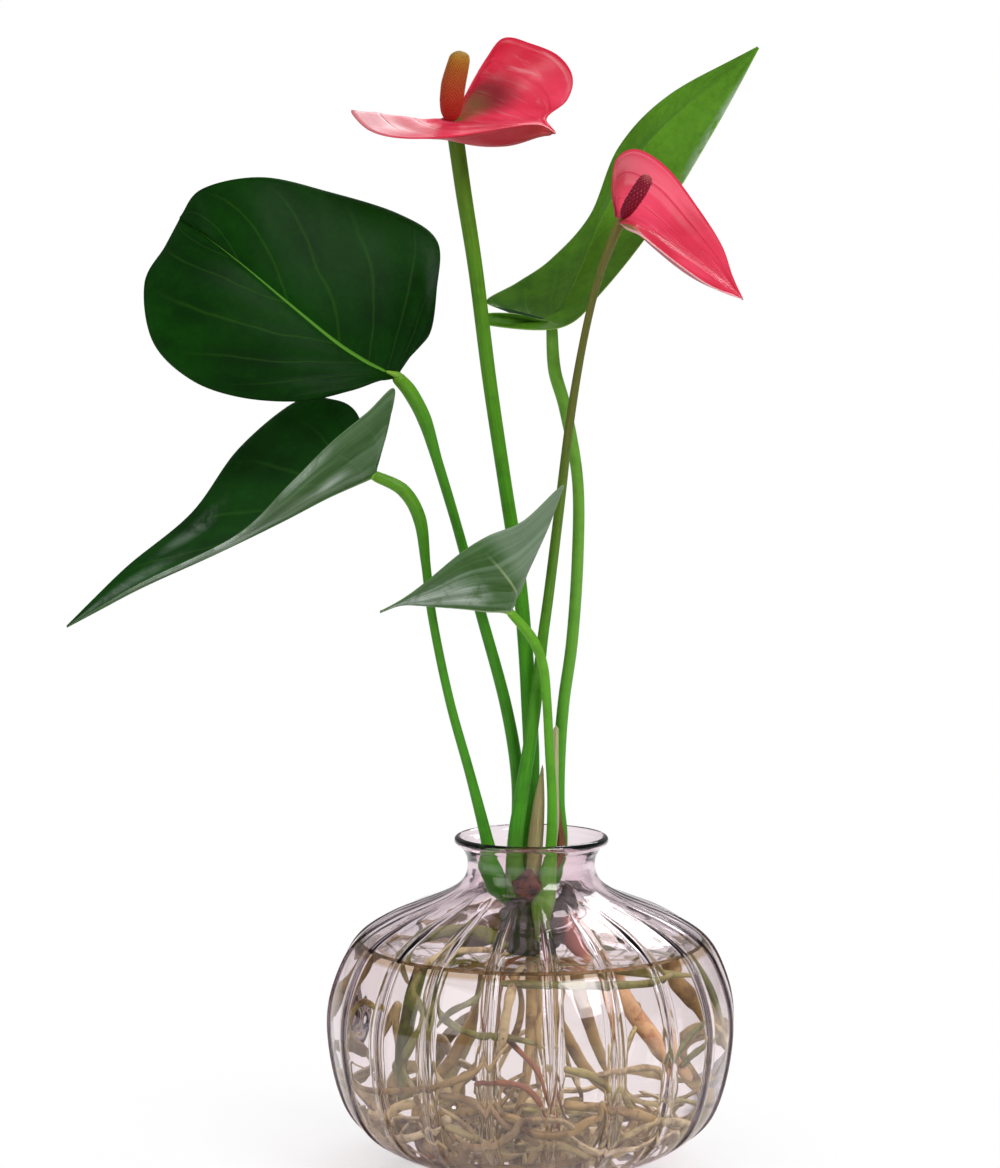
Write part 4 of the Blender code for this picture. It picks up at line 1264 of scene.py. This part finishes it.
def wandering_root():
    """Points of one root of the mat, and its radius."""
    thick = THINNEST + THICKER * grow.random() ** 2
    turn = grow.uniform(0, 2 * math.pi)
    reach = grow.uniform(*MAT_REACH)
    spot = Vector((reach * math.cos(turn), reach * math.sin(turn), grow.uniform(*MAT_START)))
    way = Vector((grow.uniform(-1, 1), grow.uniform(-1, 1), grow.uniform(-0.9, 0.3))).normalized()
    points = [kept_inside(spot, thick + GAP)]
    for _ in range(grow.randint(*STEPS)):
        sway = Vector((grow.gauss(0, 1), grow.gauss(0, 1), grow.gauss(0, 0.7))) * SWAY
        level = Vector((0, 0, (HOME - spot.z) / HOMING))
        way = (way + sway + level).normalized()
        spot = kept_inside(spot + way * grow.uniform(*STEP_LENGTH), thick + GAP)
        points.append(spot)
    return points, thick


def numbered(made, layer, number, finish=0):
    """Gives one root of a piece its number in the map, and its finish."""
    for face in faces_of(made):
        face.material_index = finish
        for loop in face.loops:
            loop[layer].uv.x += number


work, layer = new_work()
for number in range(MAT_ROOTS):
    points, thick = wandering_root()
    radii = [thick, thick, thick * 0.9, thick * 0.5]
    made = tube(work, points, radii, *MAT_GRID, lumpy(number), round_end=0.03, round_start=0.03)
    numbered(made, layer, number)
finish_piece("root_mat", work, [ROOT_SKIN], turn_out=True)

# %% Roots along the front wall
FRONT_ROOTS = [
    ("tan", 1.3, [(-60, -18, 36), (-56, -30, 34), (-43, -47, 37), (-31, -56, 41), (-17, -62, 48),
                  (-8, -60, 56)]),
    ("olive", 1.2, [(-16, -50, 76), (-19, -57, 71), (-28, -56, 66), (-33, -53, 60)]),
    ("tan", 1.7, [(-3, -30, 76), (-7, -56, 74), (-9, -61, 66), (-11, -60, 56), (-16, -52, 46)]),
    ("red", 1.1, [(-20, -58, 42), (-10, -62, 43), (-2, -62, 41), (5, -60, 32), (9, -56, 22)]),
    ("olive", 1.3, [(46, -44, 46), (50, -44, 50), (55, -37, 55), (60, -27, 57)]),
    ("olive", 1.3, [(50, -40, 44), (54, -38, 47), (58, -32, 49), (63, -21, 51)]),
    ("tan", 1.2, [(21, -60, 45), (30, -57, 46), (39, -51, 46), (44, -47, 43), (45, -45, 32)]),
    ("tan", 2.0, [(10, -60, 35), (24, -56, 33), (36, -49, 29), (50, -31, 21)]),
    ("tan", 1.2, [(-52, -34, 62), (-57, -30, 64), (-60, -24, 60), (-62, -18, 50), (-60, -18, 42)]),
    ("olive", 1.6, [(-38, -40, 76), (-41, -44, 70), (-36, -51, 63), (-41, -49, 54), (-44, -46, 45),
                    (-40, -49, 38)]),
    ("tan", 1.6, [(10, -62, 48), (20, -60, 45), (29, -55, 38), (36, -48, 28)]),
    ("olive", 1.4, [(-12, -54, 75), (4, -56, 75), (24, -52, 74), (40, -43, 73), (48, -34, 74)]),
    ("red", 1.0, [(-42, -30, 12), (-36, -38, 13), (-31, -44, 17)]),
    ("tan", 1.6, [(-30, -50, 26), (-16, -54, 21), (-6, -55, 19), (9, -55, 20), (22, -50, 14)]),
    ("tan", 1.3, [(19, -52, 19), (24, -55, 27), (28, -55, 33), (27, -57, 44), (27, -58, 56)]),
    ("tan", 1.7, [(-32, -54, 37), (-22, -58, 36), (-12, -59, 30), (0, -57, 22), (10, -50, 14)]),
    ("tan", 1.5, [(-57, -16, 19), (-54, -22, 16), (-43, -38, 19), (-31, -50, 25)]),
    ("tan", 1.6, [(54, -24, 21), (44, -41, 25), (35, -47, 23), (24, -50, 18)]),
    ("olive", 1.5, [(-9, -8, 83), (-22, -18, 88), (-34, -23, 88), (-42, -24, 84.5), (-45, -27, 78),
                    (-41, -34, 70)]),
    ("tan", 1.3, [(-8, -10, 80), (-18, -24, 83.5), (-30, -32, 83), (-38, -36, 78), (-40, -38, 70)]),
    ("tan", 1.4, [(3, -20, 77), (3, -40, 72), (3, -54, 66), (2, -58, 58), (4, -56, 48)]),
]
FRONT_FINISHES = {"tan": ROOT_SKIN, "olive": ROOT_OLIVE, "red": ROOT_RED}
work, layer = new_work()
for number, (kind, thick, points) in enumerate(FRONT_ROOTS):
    radii = [thick * 0.8, thick, thick, thick * 0.5]
    made = tube(work, points, radii, *FRONT_GRID, lumpy(number), round_end=0.04, round_start=0.05)
    numbered(made, layer, number, list(FRONT_FINISHES).index(kind))
finish_piece("root_front", work, list(FRONT_FINISHES.values()), turn_out=True)

# %% [markdown]
# ## Floor, light and background
#
# The plant stands on a plain white floor in soft studio light. The background is white for rays
# from the camera. Rays that pass through glass see it white with darker sides, which draw the edges
# of the glass. To the rest of the scene the world is a soft grey room with a lighter ceiling. The
# ceiling is kept dim in reflections, or it would lay a grey veil over the dark leaves.

# %% Floor
WHITE = (1.0, 1.0, 1.0)
FLOOR_HALF = 12.0  # metres
material, shader, place = new_material("floor white", 0.8, Base_Color=(0.9, 0.9, 0.9, 1.0))
tree = material.node_tree
away = output_of(tree, "VectorMath", {0: place}, "Value", operation="LENGTH")
path = node(tree, "LightPath").outputs
seen = Value(path["Is Camera Ray"]).math("MAXIMUM", path["Is Transmission Ray"])
white = output_of(tree, "Emission", {"Color": WHITE, "Strength": 1.0})
share = seen * fade(away, 0.05, 0.22, 0.55, 1.0)
shown = output_of(tree, "MixShader", {0: share, 1: shader.outputs[0], 2: white})
shown.into(tree.nodes["Material Output"], "Surface")

work = bmesh.new()
bmesh.ops.create_grid(work, x_segments=2, y_segments=2, size=FLOOR_HALF)
floor_mesh = bpy.data.meshes.new("floor")
work.to_mesh(floor_mesh)
work.free()
floor_mesh.materials.append(material)
floor = new_object("floor", floor_mesh)
print("floor", 2 * FLOOR_HALF, "m wide")

# %% World
world = bpy.data.worlds.new("studio")
bpy.context.scene.world = world
world.use_nodes = True
tree = world.node_tree
tree.nodes.clear()
sideways, _, upwards = parts(output_of(tree, "TexCoord", output="Generated"))
path = node(tree, "LightPath").outputs
walls = fade(abs(sideways), 0.55, 0.9, 0.26, 0.12)
ceiling = fade(Value(path["Is Glossy Ray"]), 0.0, 1.0, 0.8, 0.25)
room = walls * fade(upwards, 0.25, 0.8, 1.0, 0.0) + ceiling * fade(upwards, 0.25, 0.8)
behind = fade(sideways, -0.47, -0.62, 1.0, 0.12) * fade(sideways, 0.45, 0.90, 1.0, 0.30)
room, behind, white = [output_of(tree, "Background", {"Color": WHITE, "Strength": strength})
                       for strength in (room, behind, 1.0)]
clear = output_of(tree, "MixShader", {0: path["Is Transmission Ray"], 1: room, 2: behind})
shown = output_of(tree, "MixShader", {0: path["Is Camera Ray"], 1: clear, 2: white})
shown.into(node(tree, "OutputWorld"), "Surface")
print("world", len(tree.nodes), "nodes")

# %% Lamps
def lamp(name, power, size, place, aim):
    light = bpy.data.lights.new(name, "AREA")
    light.energy = power
    light.shape = "RECTANGLE"
    light.size, light.size_y = size
    made = new_object(name, light)
    made.location = place
    made.rotation_euler = (Vector(aim) - Vector(place)).to_track_quat("-Z", "Y").to_euler()


lamp("key", 15.0, (0.7, 0.9), (0.9, -1.0, 1.3), (0, 0, 0.25))
lamp("fill", 4.5, (0.9, 0.9), (-1.2, -0.8, 0.7), (0, 0, 0.2))
lamp("back", 8.0, (0.8, 0.5), (0.4, 1.1, 1.1), (0, 0, 0.3))
print("three lamps")

# %% [markdown]
# ## Colour
#
# The picture shows colours as they are written.

# %% Finish
bpy.context.scene.view_settings.view_transform = "Standard"
